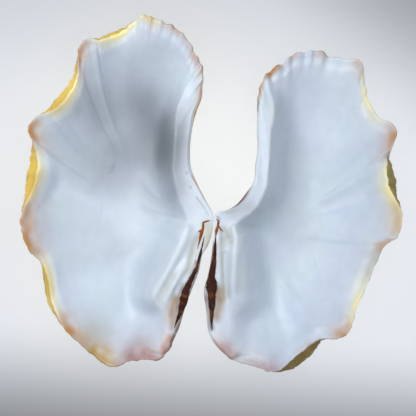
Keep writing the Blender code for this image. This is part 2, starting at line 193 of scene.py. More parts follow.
RIGHT_STATIONS = (
    (0.8, 0.0, 0.0, 0.0, 25), (9.0, 2.5, 0.0, 0.3, 18), (16.0, 7.0, 0.0, 0.5, 12),
    (22.5, 15.0, -0.1, 0.6, 8), (26.5, 21.5, -0.2, 0.6, 7.5), (27.5, 32.0, -0.4, 0.6, 8),
    (29.0, 43.0, -0.4, 0.6, 9), (28.5, 56.0, -0.3, 0.6, 10.5), (29.0, 66.5, -0.2, 0.8, 11),
    (29.0, 76.0, 0.0, 0.8, 9), (32.0, 86.0, 0.1, 0.8, 4), (37.0, 92.5, 0.1, 0.8, 1),
    (45.0, 96.5, 0.1, 0.8, 0), (52.0, 102.0, 0.1, 0.8, 0), (60.5, 104.0, 0.1, 0.8, 0),
    (67.5, 104.5, 0.1, 0.8, 0), (75.5, 101.5, -0.3, 0.8, 0), (84.5, 100.0, 0.2, 0.8, 0),
    (92.0, 99.5, 0.9, 0.8, 0), (95.5, 95.0, 0.9, 0.8, 0), (97.0, 87.0, -0.1, 0.8, 0),
    (99.5, 78.5, -0.8, 1.0, 0), (102.5, 70.0, -0.9, 1.0, 0), (107.0, 62.5, -0.1, 0.8, 0),
    (113.5, 58.5, 0.7, 0.8, 0), (117.0, 52.5, 1.0, 0.8, 0), (115.0, 43.5, 0.4, 0.8, 0),
    (112.5, 36.5, -0.5, 3.0, 0), (113.0, 27.5, -1.0, 5.8, 0), (114.0, 18.0, -0.7, 6.2, 0),
    (117.5, 9.0, 0.2, 3.2, 0), (120.5, 0.5, 1.0, 0.8, 0), (120.0, -9.0, 0.9, 0.8, 0),
    (117.0, -15.5, 0.4, 0.8, 0), (110.0, -21.5, -0.4, 0.8, 0), (106.0, -31.0, -1.0, 1.2, 0),
    (102.0, -41.0, -0.9, 1.2, 0), (98.0, -50.0, -0.9, 1.2, 0), (93.0, -60.0, -0.5, 1.0, 0),
    (89.5, -68.5, 0.4, 0.8, 0), (86.0, -76.0, 1.0, 0.8, 0), (79.5, -80.0, 0.7, 0.8, 0),
    (71.5, -80.5, -0.1, 1.5, 0), (64.5, -84.0, -0.8, 4.2, 0), (58.0, -89.5, -1.0, 6.6, 0),
    (50.0, -95.5, -0.7, 7.2, 0), (43.0, -100.5, 0.3, 2.6, 0), (35.5, -101.0, 1.0, 0.8, 0),
    (26.5, -98.0, 0.4, 0.8, 0), (18.0, -96.0, 0.1, 0.8, 0), (10.5, -93.0, 0.5, 0.8, 1),
    (4.0, -87.0, 0.8, 0.8, 4), (-1.0, -81.0, 0.4, 0.8, 10), (-3.5, -74.0, 0.0, 0.8, 18),
    (-4.5, -62.5, 0.0, 0.8, 24), (-6.0, -50.5, 0.0, 0.8, 26), (-4.0, -41.5, 0.0, 0.5, 25),
    (-2.0, -31.0, 0.0, 0.3, 22), (-1.0, -20.0, 0.0, 0.0, 19), (0.2, -9.5, 0.0, 0.0, 14),
)

# What the rows of a valve's other tables say, where out and up are in mm from the hinge point:
# ripples, the small riblets of the byssal end: a crest's station, half width in stations, rise in mm.
# plate, the outline of the flat byssal rim and hinge: out, up, and how steep the wall inside it is.
# relief, the ridges and grooves of the hinge: lines of out, up, height in mm, half width in mm.
# stains along the lip: kind, station, half width in stations, how far inside in mm, strength; the yellow
# ones are partly a painted highlight and one brown one is painted shade.
# marks on the hollow: kind, line of out and up, half width in mm, strength; the marks that grey the bowl's
# low parts are painted shade.
# strands of dried ligament: lines of out, up, half width in mm, thickness in mm.
LEFT = Valve(
    name="left",
    side=-1,
    middle=(60.0, 20.0),
    beak=(19.0, -2.0),
    fan_edge=162.0,
    fan_spread=2.8,
    stations=LEFT_STATIONS,
    ripples=(
        (8.2, 0.3, 1.6), (9.0, 0.3, 2.0), (9.8, 0.3, 2.0), (10.6, 0.3, 2.1), (11.5, 0.32, 2.2),
        (12.4, 0.32, 2.4), (13.3, 0.32, 2.4), (14.2, 0.3, 2.4), (15.1, 0.3, 2.2), (16.2, 0.3, 1.0),
    ),
    plate=(
        (5, 95, 0.8), (12, 90, 1.2), (17, 84, 1.8), (20.8, 76, 2.6), (24, 67.6, 3.2), (25.4, 58, 3.6),
        (25.4, 48, 3.6), (26, 38.4, 3.6), (26.7, 30, 3.6), (25.4, 20.2, 3.4), (23.4, 12.4, 3.0),
        (20.8, 5.9, 2.6), (17.8, 0.6, 2.2), (16.4, -4.5, 2.0), (18.6, -8.5, 2.0), (22, -12, 2.2),
        (23, -18.9, 2.4), (27.3, -28.6, 2.4), (31.2, -36.4, 2.2), (36.4, -44.9, 2.0), (40.6, -54, 2.0),
        (38.5, -57.5, 2.0), (33.5, -60, 1.9), (31, -66, 1.6), (32, -76, 1.3), (36, -86, 1.0),
        (24, -100, 0.6), (-6, -60, 0.6), (-10, 0, 0.6), (-6, 60, 0.6),
    ),
    relief=(
        ((17.5, -10, 2.4, 3.0), (20, -17, 3.0, 3.4), (25, -27, 3.2, 3.4), (30.5, -37.5, 3.2, 3.0),
         (38.5, -53, 2.4, 3.0)),
        ((17, -31, 1.2, 3.0), (22.5, -38.5, 2.6, 2.8), (27.5, -47, 3.2, 2.6), (32.5, -57, 2.2, 2.4)),
        ((19.5, -11.5, 1.4, 2.4), (21, -12.5, 1.4, 2.0)),
        ((26, -39, -0.5, 2.0), (31, -47.5, -1.5, 2.4), (36.5, -56, -1.4, 2.8)),
        ((10, -14, -1.0, 2.2), (12.5, -22, -1.8, 2.6), (15, -31, -1.2, 2.6)),
    ),
    stains=(
        # The yellow stains are partly the lip's own colour and partly a painted highlight along it.
        ("tan", 21.4, 1.5, 8, 0.9), ("tan", 28.2, 1.3, 8, 1.0), ("tan", 34.8, 2.2, 9, 1.0),
        ("tan", 41.3, 1.3, 7, 1.0), ("tan", 14.2, 0.8, 5, 0.5), ("tan", 12.0, 1.6, 2.5, 0.7),
        ("tan", 9.6, 1.6, 4, 0.8), ("tan", 7.2, 0.9, 4, 0.8),
        ("yellow", 17.2, 2.6, 3.5, 0.9), ("yellow", 14.4, 1.4, 3, 0.9), ("yellow", 24.6, 1.9, 4, 0.9),
        ("yellow", 31.4, 2.3, 3.5, 0.9), ("yellow", 38.6, 2.0, 4, 0.9), ("ochre", 43.7, 1.8, 13, 1.0),
        ("ochre", 25.2, 0.9, 3, 0.6), ("ochre", 31.6, 1.0, 3, 0.6), ("ochre", 38.4, 0.9, 3, 0.6),
        ("pink", 46.9, 1.7, 11, 0.95), ("pink", 48.8, 0.8, 8, 1.0), ("brown", 49.4, 0.7, 3, 0.8),
    ),
    marks=(
        # Painted shade: these marks grey the bowl where it lies low under the byssal rim and by the hinge.
        ("painted_deep_shade", ((34, 52), (46, 66), (60, 76), (80, 72)), 20, 0.4),
        ("painted_deep_shade", ((36, 46), (42, 66), (46, 76)), 16, 0.34),
        ("painted_deep_shade", ((34, 36), (50, 40), (68, 40)), 17, 0.4),
        ("painted_deep_shade", ((33, 60), (31, 30), (27, 15)), 7, 0.3),
        ("painted_deep_shade", ((78, 22), (50, 14), (30, 10)), 14, 0.24),
        ("painted_deep_shade", ((36, 106), (56, 100)), 14, 0.22),
        ("painted_deep_shade", ((90, 40), (78, 56)), 18, 0.16),
        ("painted_deep_shade", ((80, -14), (50, -30)), 18, 0.1),
        ("painted_deep_shade", ((22, 66), (20, 20)), 5.0, 0.16),
        ("brown", ((17.5, 27), (18, 26.5)), 0.7, 0.5),
        ("brown", ((15.6, 17.5), (15.2, 17.2)), 0.7, 0.55),
        ("brown", ((11.7, 11), (7.5, 5.5), (4.0, -0.6)), 0.35, 0.5),
        ("tan", ((14.6, 25), (10, 16.5), (5.6, 8.8)), 0.5, 0.75),
        ("brown", ((71.5, 28), (69, 33)), 1.2, 0.22),
        ("brown", ((77, 9), (78.5, -5)), 0.5, 0.12),
        ("brown", ((24, -55), (27.2, -64), (26.5, -71)), 3.8, 0.45),
        ("ochre", ((25, -56), (28.4, -64), (27.5, -70)), 3.4, 0.6),
        ("brown", ((20, -47), (23.2, -56), (25, -66), (27, -74)), 2.4, 0.6),
        ("brown", ((12, -31), (15.5, -40), (18, -46)), 1.2, 0.7),
        ("brown", ((5, -26), (8.5, -36), (13, -45), (17, -55), (21, -66), (25, -76)), 1.6, 0.75),
        ("tan", ((29, -80), (34, -88)), 2.4, 0.5),
        # The first grey mark is partly the plate's own beige and partly painted shade on the tooth's lower
        # flank; the second is painted shade in the groove beside the tooth; the third is the umbo flap's
        # own yellowish grey.
        ("grey", ((11.5, -16), (14.5, -27), (18.5, -38)), 2.6, 0.6),
        ("grey", ((27, -40), (36, -55)), 2.0, 0.5),
        ("grey", ((4.5, -7), (3.5, -16), (5, -20)), 3.4, 0.8),
    ),
    strands=(
        ((2.4, -4.2, 0.8, 0.6), (4.6, -4.6, 0.7, 0.6), (7.2, -5.6, 0.8, 0.7), (7.3, -9.1, 0.9, 0.8),
         (8.4, -12.5, 1.1, 0.8), (9.2, -16, 0.9, 0.6), (10.1, -19.5, 0.5, 0.4), (11.0, -23, 0.3, 0.3)),
        ((7.4, -10.2, 0.5, 0.5), (9.1, -10.8, 0.5, 0.5), (10.6, -11.8, 0.3, 0.3)),
        ((6.5, -14, 0.5, 0.6), (7.2, -18, 0.7, 0.8), (8.6, -24, 0.9, 1.0), (11.4, -35, 1.2, 1.2),
         (15.4, -43.2, 1.7, 1.4), (18.2, -48.8, 2.6, 1.6), (19.3, -53.3, 3.0, 1.6),
         (20.4, -58.5, 2.6, 1.6), (22.2, -64.4, 1.8, 1.4), (24.4, -69.6, 1.2, 1.1),
         (26.0, -74.5, 0.6, 0.8)),
    ),
    olive_and_shade=0.12,
    seed=3,
)

RIGHT = Valve(
    name="right",
    side=1,
    middle=(55.0, -6.0),
    beak=(22.0, -4.0),
    fan_edge=178.0,
    fan_spread=2.8,
    stations=RIGHT_STATIONS,
    ripples=(
        (9.6, 0.3, 1.2), (10.5, 0.32, 1.7), (11.5, 0.32, 2.0), (12.5, 0.32, 2.1), (13.4, 0.32, 2.2),
        (14.3, 0.3, 2.0), (15.3, 0.32, 2.4), (16.5, 0.3, 1.2),
    ),
    plate=(
        (26, 92, 0.8), (31, 87, 1.0), (35.5, 80, 1.4), (38, 73, 2.0), (38.4, 64.4, 2.6), (36.4, 54.6, 3.2),
        (35.8, 41.6, 3.4), (34.5, 28.6, 3.4), (33.8, 18.9, 3.2), (31.2, 12.4, 3.0), (28, 5.9, 2.6),
        (22.8, 0.6, 2.4), (16.3, -3.3, 2.2), (13.4, -6.4, 2.0), (15, -12, 2.0), (17.2, -15.2, 2.4),
        (17.2, -20.8, 2.4), (15.8, -30, 1.5), (15.8, -39.7, 1.3), (15.2, -49.4, 1.2), (16.3, -55.9, 1.2),
        (14.5, -59.5, 1.2), (10.5, -61, 1.2), (9, -68, 1.1), (9.5, -78, 1.0), (13, -90, 0.8),
        (4, -105, 0.6), (-20, -70, 0.6), (-20, -20, 0.6), (-10, 10, 0.6), (15, 30, 0.6), (20, 70, 0.6),
    ),
    relief=(
        ((12.5, -9, 2.6, 2.4), (14, -15.5, 3.2, 2.6), (13.2, -25, 3.2, 3.2), (12.6, -38, 3.2, 3.2),
         (12.0, -49, 3.0, 3.0), (13.0, -56, 1.8, 2.8)),
        ((2.6, -10, 0.8, 1.6), (3.4, -22, 1.0, 1.8), (3.2, -42, 0.8, 1.8), (5, -54, 0.6, 1.8)),
        ((5, -10, -1.2, 1.8), (8.2, -16.5, -2.8, 2.8), (9.0, -19, -1.6, 2.4)),
        ((7, -26, -1.0, 1.8), (7.0, -42, -1.6, 1.8), (8.0, -55, -1.4, 1.8)),
    ),
    stains=(
        # The brown stain at station 26.7 is painted shade in the crease under a lobe; the yellow ones are
        # partly the lip's own colour and partly a painted highlight along it.
        ("tan", 18.6, 1.1, 5, 0.7), ("tan", 25.2, 1.4, 9, 0.95), ("brown", 26.7, 0.5, 4, 0.6),
        ("tan", 31.5, 1.6, 8, 0.6), ("tan", 33.8, 0.8, 4, 0.8), ("tan", 40.4, 1.2, 6, 0.95),
        ("pink", 47.4, 1.8, 6, 0.65), ("pink", 50.6, 1.5, 7, 0.85), ("tan", 11.0, 1.1, 3, 1.0),
        ("tan", 9.6, 0.8, 2.5, 0.9), ("tan", 13.0, 0.5, 2.5, 0.6), ("tan", 15.2, 0.6, 4, 0.6),
        ("brown", 2.4, 1.1, 1.1, 0.9), ("brown", 8.5, 0.5, 1.2, 0.8),
        ("yellow", 21.6, 2.2, 4, 0.7), ("yellow", 29.5, 3.2, 5, 0.75), ("grey", 35.2, 1.6, 7, 0.6),
        ("yellow", 38.0, 2.2, 5, 0.7), ("tan", 43.6, 1.4, 2.0, 0.5),
    ),
    marks=(
        # Painted shade: these marks grey the bowl where it lies low under the byssal rim and by the hinge.
        ("painted_deep_shade", ((44, 70), (48, 40), (44, 18)), 11, 0.1),
        ("painted_deep_shade", ((38, 8), (28, -2), (22, -6)), 7, 0.2),
        ("painted_deep_shade", ((22, 5), (12, 1)), 6, 0.26),
        ("painted_deep_shade", ((64, 34), (66, 14), (58, -14)), 16, 0.14),
        ("painted_deep_shade", ((58, -20), (46, -44)), 14, 0.12),
        ("painted_deep_shade", ((8, -26), (11, -50)), 8, 0.12),
        ("brown", ((1.5, -1.5), (3.2, -2.5), (3.4, -5), (1.8, -8)), 0.5, 0.7),
        ("brown", ((2.0, -48), (3.2, -57), (1.4, -68)), 3.2, 0.45),
        ("ochre", ((2.6, -50), (3.6, -58), (2.0, -66)), 3.0, 0.6),
        ("brown", ((-1.0, -20), (-2.5, -36), (-3.5, -50), (-2.8, -62), (-2.2, -74)), 2.2, 0.8),
        ("brown", ((-5, -44), (-5.6, -56), (-4.4, -64)), 1.8, 0.6),
        # These grey marks are painted shade: in the pocket under the hinge bump and in the groove beside
        # the tooth.
        ("grey", ((7, -10), (9.5, -18)), 2.6, 0.6),
        ("grey", ((4.0, -16), (5.2, -34), (7.2, -56)), 1.6, 0.5),
        ("brown", ((68, -29), (70, -38)), 0.6, 0.06),
    ),
    strands=(
        ((1.4, -3.0, 0.7, 0.6), (2.6, -4.6, 0.8, 0.7), (2.4, -7.6, 0.9, 0.7), (1.4, -11, 1.0, 0.8),
         (0.8, -15, 0.8, 0.7)),
        ((2.6, -7.4, 0.5, 0.5), (3.9, -9.6, 0.5, 0.5), (5.6, -11.6, 0.3, 0.3)),
        ((1.0, -13, 0.8, 0.8), (0.6, -20, 1.2, 1.1), (0.0, -30, 1.6, 1.3), (-1.8, -40, 2.4, 1.5),
         (-1.8, -47, 3.4, 1.6), (-1.7, -54, 2.8, 1.6), (-1.7, -62, 2.0, 1.4), (-1.8, -70, 1.3, 1.1),
         (-1.4, -76, 0.7, 0.8)),
    ),
    # The right valve's outside takes all of the olive, which is partly painted shade.
    olive_and_shade=1.0,
    seed=8,
)

VALVES = (LEFT, RIGHT)
STAINS_AND_PAINTED_LIGHT = ("tan", "ochre", "pink", "brown", "yellow", "grey", "painted_deep_shade")


def linear(code):
    """The linear colour of an sRGB hex value, as Blender's shaders take it."""
    parts = [int(code[i:i + 2], 16) / 255.0 for i in (1, 3, 5)]
    return [c / 12.92 if c <= 0.04045 else ((c + 0.055) / 1.055) ** 2.4 for c in parts]


def per(millimetres):
    """A texture scale that repeats once in this many millimetres."""
    return 1000.0 / millimetres


def colour_property(name, description, code):
    """A colour of the panel, from an sRGB hex value."""
    return bpy.props.FloatVectorProperty(
        name=name, description=description, subtype="COLOR", size=3, min=0.0, max=1.0,
        default=linear(code),
    )


def length_property(name, description, millimetres):
    """A length of the panel, kept in metres."""
    return bpy.props.FloatProperty(
        name=name, description=description, default=millimetres * MM, min=0.0, unit="LENGTH",
    )


class ClamShape(bpy.types.PropertyGroup):
    """Sizes of the shell."""

    lip_height: length_property("Lip height", "Height of the lip above the floor", 50)
    lobe_rise: length_property("Lobe rise", "How far a lobe stands above the mean lip", 6)
    wall: length_property("Wall", "Thickness of the shell under the bowl", 7.5)
    beak_height: length_property("Beak height", "Height of the beak above the floor", 21)
    belly_drop: length_property("Belly drop", "How far the outside bulges below a straight ray", 22.5)
    rib_height: length_property("Rib height", "Height of the ribs at the lip", 7)
    scute_height: length_property("Scute height", "How far the scutes stand from the ribs", 4.2)
    lamella: length_property("Lamella", "Step of the fine growth lines between the scutes", 0.7)


class ClamColours(bpy.types.PropertyGroup):
    """Colours of the shell and of what it stands on."""

    porcelain: colour_property("Porcelain", "The hollow where the light falls on it", "#C6D2DE")
    lavender: colour_property("Lavender", "Patches of the hollow", "#BBC5DC")
    sea_white: colour_property("Sea white", "Patches of the hollow with a green tint", "#C2D4D8")
    tan: colour_property("Tan", "The tips of the lobes", "#B28048")
    ochre: colour_property("Ochre", "Deep yellow stains", "#B08A22")
    pink: colour_property("Pink", "The lobes at the lower end", "#9C6458")
    # Brown also stands for painted shade in one crease under a lobe of the right valve.
    brown: colour_property("Brown", "Dried skin and cracks", "#5E3414")
    # Yellow is partly the lip's own colour over the rib ends and partly a painted highlight along that
    # edge.
    yellow: colour_property("Yellow", "The lip over the ribs", "#EFE08C")
    # Painted shade: the grey laid low in the bowl under the byssal rim.
    painted_deep_shade: colour_property("Deep", "The grey depths under the byssal rim", "#3E4046")
    # Grey is partly a real beige-grey film and partly painted shade in the hinge's grooves and a pocket by
    # it.
    grey: colour_property("Grey", "Beige-grey films by the hinge", "#A9A692")
    fresh: colour_property("Fresh outside", "The youngest yellow of the outside", "#E8C04A")
    # Partly the right valve's own duller colour and partly painted shade on that valve.
    olive_and_shade: colour_property("Olive outside", "The duller outside of the right valve", "#83743A")
    chalk: colour_property("Chalk", "The worn older part of the outside", "#DAD2BC")
    ligament: colour_property("Ligament", "The dried ligament", "#2E0F06")
    amber: colour_property("Amber", "The thin edges of the ligament", "#9A5A1C")
    amber_brown: colour_property("Amber brown", "The thin twigs of the ligament", "#7A3E10")
    paper: colour_property("Paper", "The middle of the floor", "#EFF2F8")
    # Painted shade: the grey that the floor darkens to away from its middle.
    painted_floor_shade: colour_property("Paper edge", "The far parts of the floor", "#707276")


def smooth(low, high, value):
    """0 below low, 1 above high, and an S-shaped step between."""
    share = np.clip((value - low) / (high - low), 0.0, 1.0)
    return share * share * (3.0 - 2.0 * share)


def noise(points, size, seed):
    """Smooth noise from -1 to 1 at 3-D points, with bumps about this size across."""
    table = np.random.default_rng(seed).permutation(512)
    place = np.asarray(points, float) / size + 1000.0
    cell = np.floor(place).astype(int)
    share = place - cell
    share = share * share * (3.0 - 2.0 * share)
    total = np.zeros(place.shape[:-1])
    for corner in np.ndindex(2, 2, 2):
        key = table[(cell[..., 0] + corner[0]) % 512]
        key = table[(key + cell[..., 1] + corner[1]) % 512]
        key = table[(key + cell[..., 2] + corner[2]) % 512]
        weight = np.prod(np.where(np.array(corner) == 1, share, 1.0 - share), axis=-1)
        total += weight * (key / 255.5 - 1.0)
    return total


def around(turn, across, size_turn, size_across, seed):
    """Noise on the shell that closes on itself once round the lip."""
    angle = 2.0 * np.pi * np.asarray(turn)
    radius = 1.0 / (2.0 * np.pi * size_turn)
    across = np.broadcast_to(across / size_across, angle.shape)
    points = np.stack((radius * np.cos(angle), radius * np.sin(angle), across), axis=-1)
    return noise(points, 1.0, seed)


def lip_at(valve, turn):
    """The stations' five values on a smooth closed curve, where turn runs once round from 0 to 1."""
    stations = np.array(valve.stations, float) * (MM, MM, 1.0, MM, MM)
    count = len(stations)
    place = (turn % 1.0) * count
    start = np.floor(place).astype(int)
    share = (place - start)[..., None]
    before, here, after, beyond = (stations[(start + step) % count] for step in (-1, 0, 1, 2))
    return 0.5 * (
        2.0 * here
        + (after - before) * share
        + (2.0 * before - 5.0 * here + 4.0 * after - beyond) * share**2
        + (3.0 * here - before - 3.0 * after + beyond) * share**3
    )


def to_fan(valve, plan):
    """Plan points in the growth fan, whose rays start at the hinge and curve towards the byssal side."""
    angle = np.degrees(np.arctan2(plan[..., 0], plan[..., 1]))
    angle = np.where(angle < -90.0, angle + 360.0, angle)
    length = np.linalg.norm(plan, axis=-1)
    ray = np.radians((valve.fan_edge - angle) / (1.0 + valve.fan_spread * length))
    return np.stack((length * np.cos(ray), length * np.sin(ray)), axis=-1)


def from_fan(valve, fan):
    """The plan points of points in the growth fan."""
    ray = np.degrees(np.arctan2(fan[..., 1], fan[..., 0]))
    length = np.linalg.norm(fan, axis=-1)
    angle = np.radians(valve.fan_edge - ray * (1.0 + valve.fan_spread * length))
    return np.stack((length * np.sin(angle), length * np.cos(angle)), axis=-1)


def station_gap(valve, turn, station):
    """How many stations lie between a turn and a station, the short way round."""
    count = len(valve.stations)
    return (turn * count - station + 0.5 * count) % count - 0.5 * count


def ripple(valve, turn):
    """The small riblets of the byssal end, in metres of rise at the lip."""
    rise = np.zeros(np.shape(turn))
    for station, width, height in valve.ripples:
        rise = rise + height * MM * np.exp(-((station_gap(valve, turn, station) / width) ** 2))
    return rise


def lip_height(shape, valve, turn, lip, detail=1.0):
    """How high the lip is: up on its lobes and down at its ribs, with detail for its riblets."""
    uneven = 0.35 * MM * around(turn, 0.0, 0.02, 1.0, valve.seed)
    return shape.lip_height + shape.lobe_rise * lip[..., 2] + detail * (ripple(valve, turn) + uneven)


def outward(valve, turn):
    """The level direction square to the lip, away from the hollow."""
    step = 1e-4
    along = lip_at(valve, turn + step)[..., :2] - lip_at(valve, turn - step)[..., :2]
    along /= np.linalg.norm(along, axis=-1, keepdims=True)
    return np.stack((-along[..., 1], along[..., 0]), axis=-1)


def reach_at(valve, turn, lip):
    """How far the outermost scutes reach past the lip, with their ragged edge."""
    ragged = 0.22 * around(turn, 0.0, 0.011, 1.0, valve.seed + 1)
    ragged = ragged + 0.12 * around(turn, 0.0, 0.004, 1.0, valve.seed + 2)
    return lip[..., 3] * (1.0 + ragged * smooth(0.9 * MM, 3.0 * MM, lip[..., 3]))


def flare(valve, turn):
    """How far the lip's own riblets and nicks take it past its smooth line."""
    nicks = around(turn, 0.0, 0.006, 1.0, valve.seed + 12)
    nicks = nicks + 0.5 * around(turn, 0.0, 0.002, 1.0, valve.seed + 13)
    station = turn % 1.0 * len(valve.stations)
    free = smooth(6.0, 11.0, station) * (1.0 - smooth(NICKS_END, NICKS_END + 3.0, station))
    return RIPPLE_FLARE * ripple(valve, turn) + NICK * nicks * free


def lip_plan(valve, turn, lip, past):
    """A point this far past the smooth line of the lip, in plan."""
    return lip[..., :2] + outward(valve, turn) * past[..., None]


def skirt(shape, valve, turn, detail=1.0):
    """The edge of the outermost scutes: a little outside the lip, and below it."""
    lip = lip_at(valve, turn)
    height = lip_height(shape, valve, turn, lip, detail) - LIP_THICKNESS - BEVEL_SLOPE * lip[..., 3]
    return lip_plan(valve, turn, lip, lip[..., 3]), height


def belly(shape, valve, turn, growth, detail=1.0):
    """A point of the outside before its ribs, where growth runs from 0 at the beak to 1 at the skirt."""
    plan, height = skirt(shape, valve, turn, detail)
    beak = np.array(valve.beak) * MM
    fan_beak = to_fan(valve, beak)
    fan = fan_beak + growth[..., None] * (to_fan(valve, plan) - fan_beak)
    length = np.linalg.norm(plan - beak, axis=-1)
    rise = 0.5 * growth**2 + 0.5 * growth**5
    peak = 1.0 / (1.0 + BELLY_POWER)
    left = np.maximum(1.0 - growth, 0.0)
    sag = growth * left**BELLY_POWER / (peak * (1.0 - peak) ** BELLY_POWER)
    drop = shape.belly_drop * np.minimum(length / LONGEST_RAY, 1.0)
    level = shape.beak_height + (height - shape.beak_height) * rise - drop * sag
    return np.concatenate((from_fan(valve, fan), level[..., None]), axis=-1)


def outside_point(shape, valve, turn, growth, lift):
    """A point of the outside: the belly, raised along its normal by the ribs and the scutes on them."""
    lip = lip_at(valve, turn)
    rib = -lip[..., 2]
    calm = 1.0 - (1.0 - smooth(*CALM_REACH, lip[..., 3])) * smooth(*VALLEY_END, growth)
    flat = belly(shape, valve, turn, growth)
    from_beak = np.linalg.norm(flat[..., :2] - np.array(valve.beak) * MM, axis=-1)
    above_floor = smooth(0.0, WORN_BELOW, flat[..., 2])
    size = smooth(0.0, SCUTE_FULL, from_beak) * above_floor
    frill = 1.0 + 0.35 * around(turn, growth, 0.010, 0.09, valve.seed + 3)
    stand = lift * size * frill * (0.22 + 0.78 * smooth(-0.2, 0.8, rib)) * calm
    waver = 0.010 * around(turn, growth, 0.016, 0.25, valve.seed + 4) * smooth(0.1, 0.4, growth)
    waver = waver * (1.0 - smooth(0.93, 1.0, growth))
    growth = growth + SCUTE_LEAN * stand + waver
    step = 1e-3
    here = belly(shape, valve, turn, growth)
    across = belly(shape, valve, turn + step, growth) - belly(shape, valve, turn - step, growth)
    along = belly(shape, valve, turn, growth + step) - belly(shape, valve, turn, growth - step)
    normal = np.cross(along, across)
    normal /= np.maximum(np.linalg.norm(normal, axis=-1, keepdims=True), 1e-12)
    station = turn * len(valve.stations)
    byssal = smooth(1.0, 3.0, station) * (1.0 - smooth(7.5, 10.0, station))
    tuck = TUCK * byssal * np.sin(np.pi * np.clip(growth, 0.0, 1.0)) ** 0.6
    shift = flare(valve, turn) * smooth(0.8, 1.0, growth) - tuck
    here[..., :2] += outward(valve, turn) * shift[..., None]
    crest = np.maximum(rib, 0.0) * (1.0 - 0.5 * smooth(0.9, 1.0, growth))
    valley = np.minimum(rib, 0.0) * VALLEY_SHARE * (1.0 - smooth(*VALLEY_END, growth))
    ridge = shape.rib_height * np.maximum(growth, 0.0) ** 1.3 * (crest + valley)
    count = len(valve.stations)
    riblet = 0.55 * MM * growth * np.cos(2.0 * np.pi * turn * count * 1.5) * smooth(0.15, 0.6, growth)
    lamella = (growth * 26.0 + 0.8 * around(turn, growth, 0.02, 0.3, valve.seed + 5)) % 1.0
    fine = riblet + shape.lamella * (lamella**2 - 0.4) * smooth(0.1, 0.5, growth)
    fine = fine + 0.45 * MM * noise(here, 7 * MM, valve.seed + 6)
    fine = fine + 0.2 * MM * noise(here, 2.5 * MM, valve.seed + 7)
    fade = above_floor * (1.0 - 0.7 * smooth(0.97, 1.0, growth)) * (0.3 + 0.7 * calm)
    return here + normal * (ridge * calm + shape.scute_height * stand + fine * fade)[..., None]


def near_line(plan, line):
    """The gap from plan points to a line of points, and the line's further values at the nearest spot."""
    line = np.array(line, float) * MM
    nearest = np.full(plan.shape[:-1], np.inf)
    values = np.zeros(plan.shape[:-1] + (line.shape[1] - 2,))
    for start, end in zip(line, line[1:]):
        run = end[:2] - start[:2]
        share = np.clip(((plan - start[:2]) @ run) / (run @ run), 0.0, 1.0)
        gap = np.linalg.norm(plan - (start[:2] + share[..., None] * run), axis=-1)
        closer = gap < nearest
        nearest = np.where(closer, gap, nearest)
        here = start[2:] + share[..., None] * (end[2:] - start[2:])
        values = np.where(closer[..., None], here, values)
    return nearest, values


def relief_height(valve, plan):
    """How far the hinge teeth stand above the plate at these plan points, and its grooves sink."""
    ridges = np.zeros(plan.shape[:-1])
    grooves = np.zeros(plan.shape[:-1])
    for line in valve.relief:
        gap, values = near_line(plan, line)
        height = values[..., 0] * np.exp(-((gap / np.maximum(values[..., 1], 1e-6)) ** 2.4))
        ridges = np.maximum(ridges, height)
        grooves = np.minimum(grooves, height)
    return ridges + grooves


def place_on_belly(shape, valve, plan):
    """The turn and the growth of the belly's point above or below each plan point."""
    turn = np.linspace(0.0, 1.0, LIP_STEPS, endpoint=False)
    fan_beak = to_fan(valve, np.array(valve.beak) * MM)
    edge = to_fan(valve, skirt(shape, valve, turn)[0]) - fan_beak
    angle = np.arctan2(edge[:, 1], edge[:, 0])
    order = np.argsort(angle)
    here = to_fan(valve, plan) - fan_beak
    here_angle = np.arctan2(here[..., 1], here[..., 0])
    edge_turn = np.unwrap(turn[order], period=1.0)
    period = 2.0 * np.pi
    whole = np.round(edge_turn[-1] - edge_turn[0])
    angles = np.concatenate(([angle[order][-1] - period], angle[order], [angle[order][0] + period]))
    turns = np.concatenate(([edge_turn[-1] - whole], edge_turn, [edge_turn[0] + whole]))
    here_turn = np.interp(here_angle, angles, turns) % 1.0
    here_edge = to_fan(valve, skirt(shape, valve, here_turn)[0]) - fan_beak
    return here_turn, np.linalg.norm(here, axis=-1) / np.linalg.norm(here_edge, axis=-1)


def belly_level(shape, valve, plan):
    """The height of the belly at these plan points, with its small riblets left out."""
    turn, growth = place_on_belly(shape, valve, plan)
    growth = np.clip(growth, 0.0, 1.0)
    level = np.zeros(turn.shape)
    for step, share in ((-FLUTE_BLUR, 0.25), (0.0, 0.5), (FLUTE_BLUR, 0.25)):
        beside = turn + step / len(valve.stations)
        level += share * belly(shape, valve, beside, growth, 0.0)[..., 2]
    return level


def plate_gap(valve, plan):
    """How far plan points are outside the plate's outline, and how steep the wall is there."""
    closed = np.array(valve.plate + valve.plate[:1])
    gap = near_line(plan, closed)[0]
    corners = closed[:, :2] * MM
    weights = np.zeros(gap.shape)
    steepness = np.zeros(gap.shape)
    for corner, steep in zip(corners[:-1], closed[:-1, 2]):
        weight = 1.0 / (np.linalg.norm(plan - corner, axis=-1) ** 3 + (4.0 * MM) ** 3)
        weights += weight
        steepness += weight * steep
    inside = np.zeros(gap.shape, bool)
    for start, end in zip(corners, corners[1:]):
        crosses = (start[1] > plan[..., 1]) != (end[1] > plan[..., 1])
        slope = (end[0] - start[0]) / (end[1] - start[1] or 1.0)
        inside ^= crosses & (plan[..., 0] < start[0] + (plan[..., 1] - start[1]) * slope)
    return np.where(inside, 0.0, gap), steepness / weights


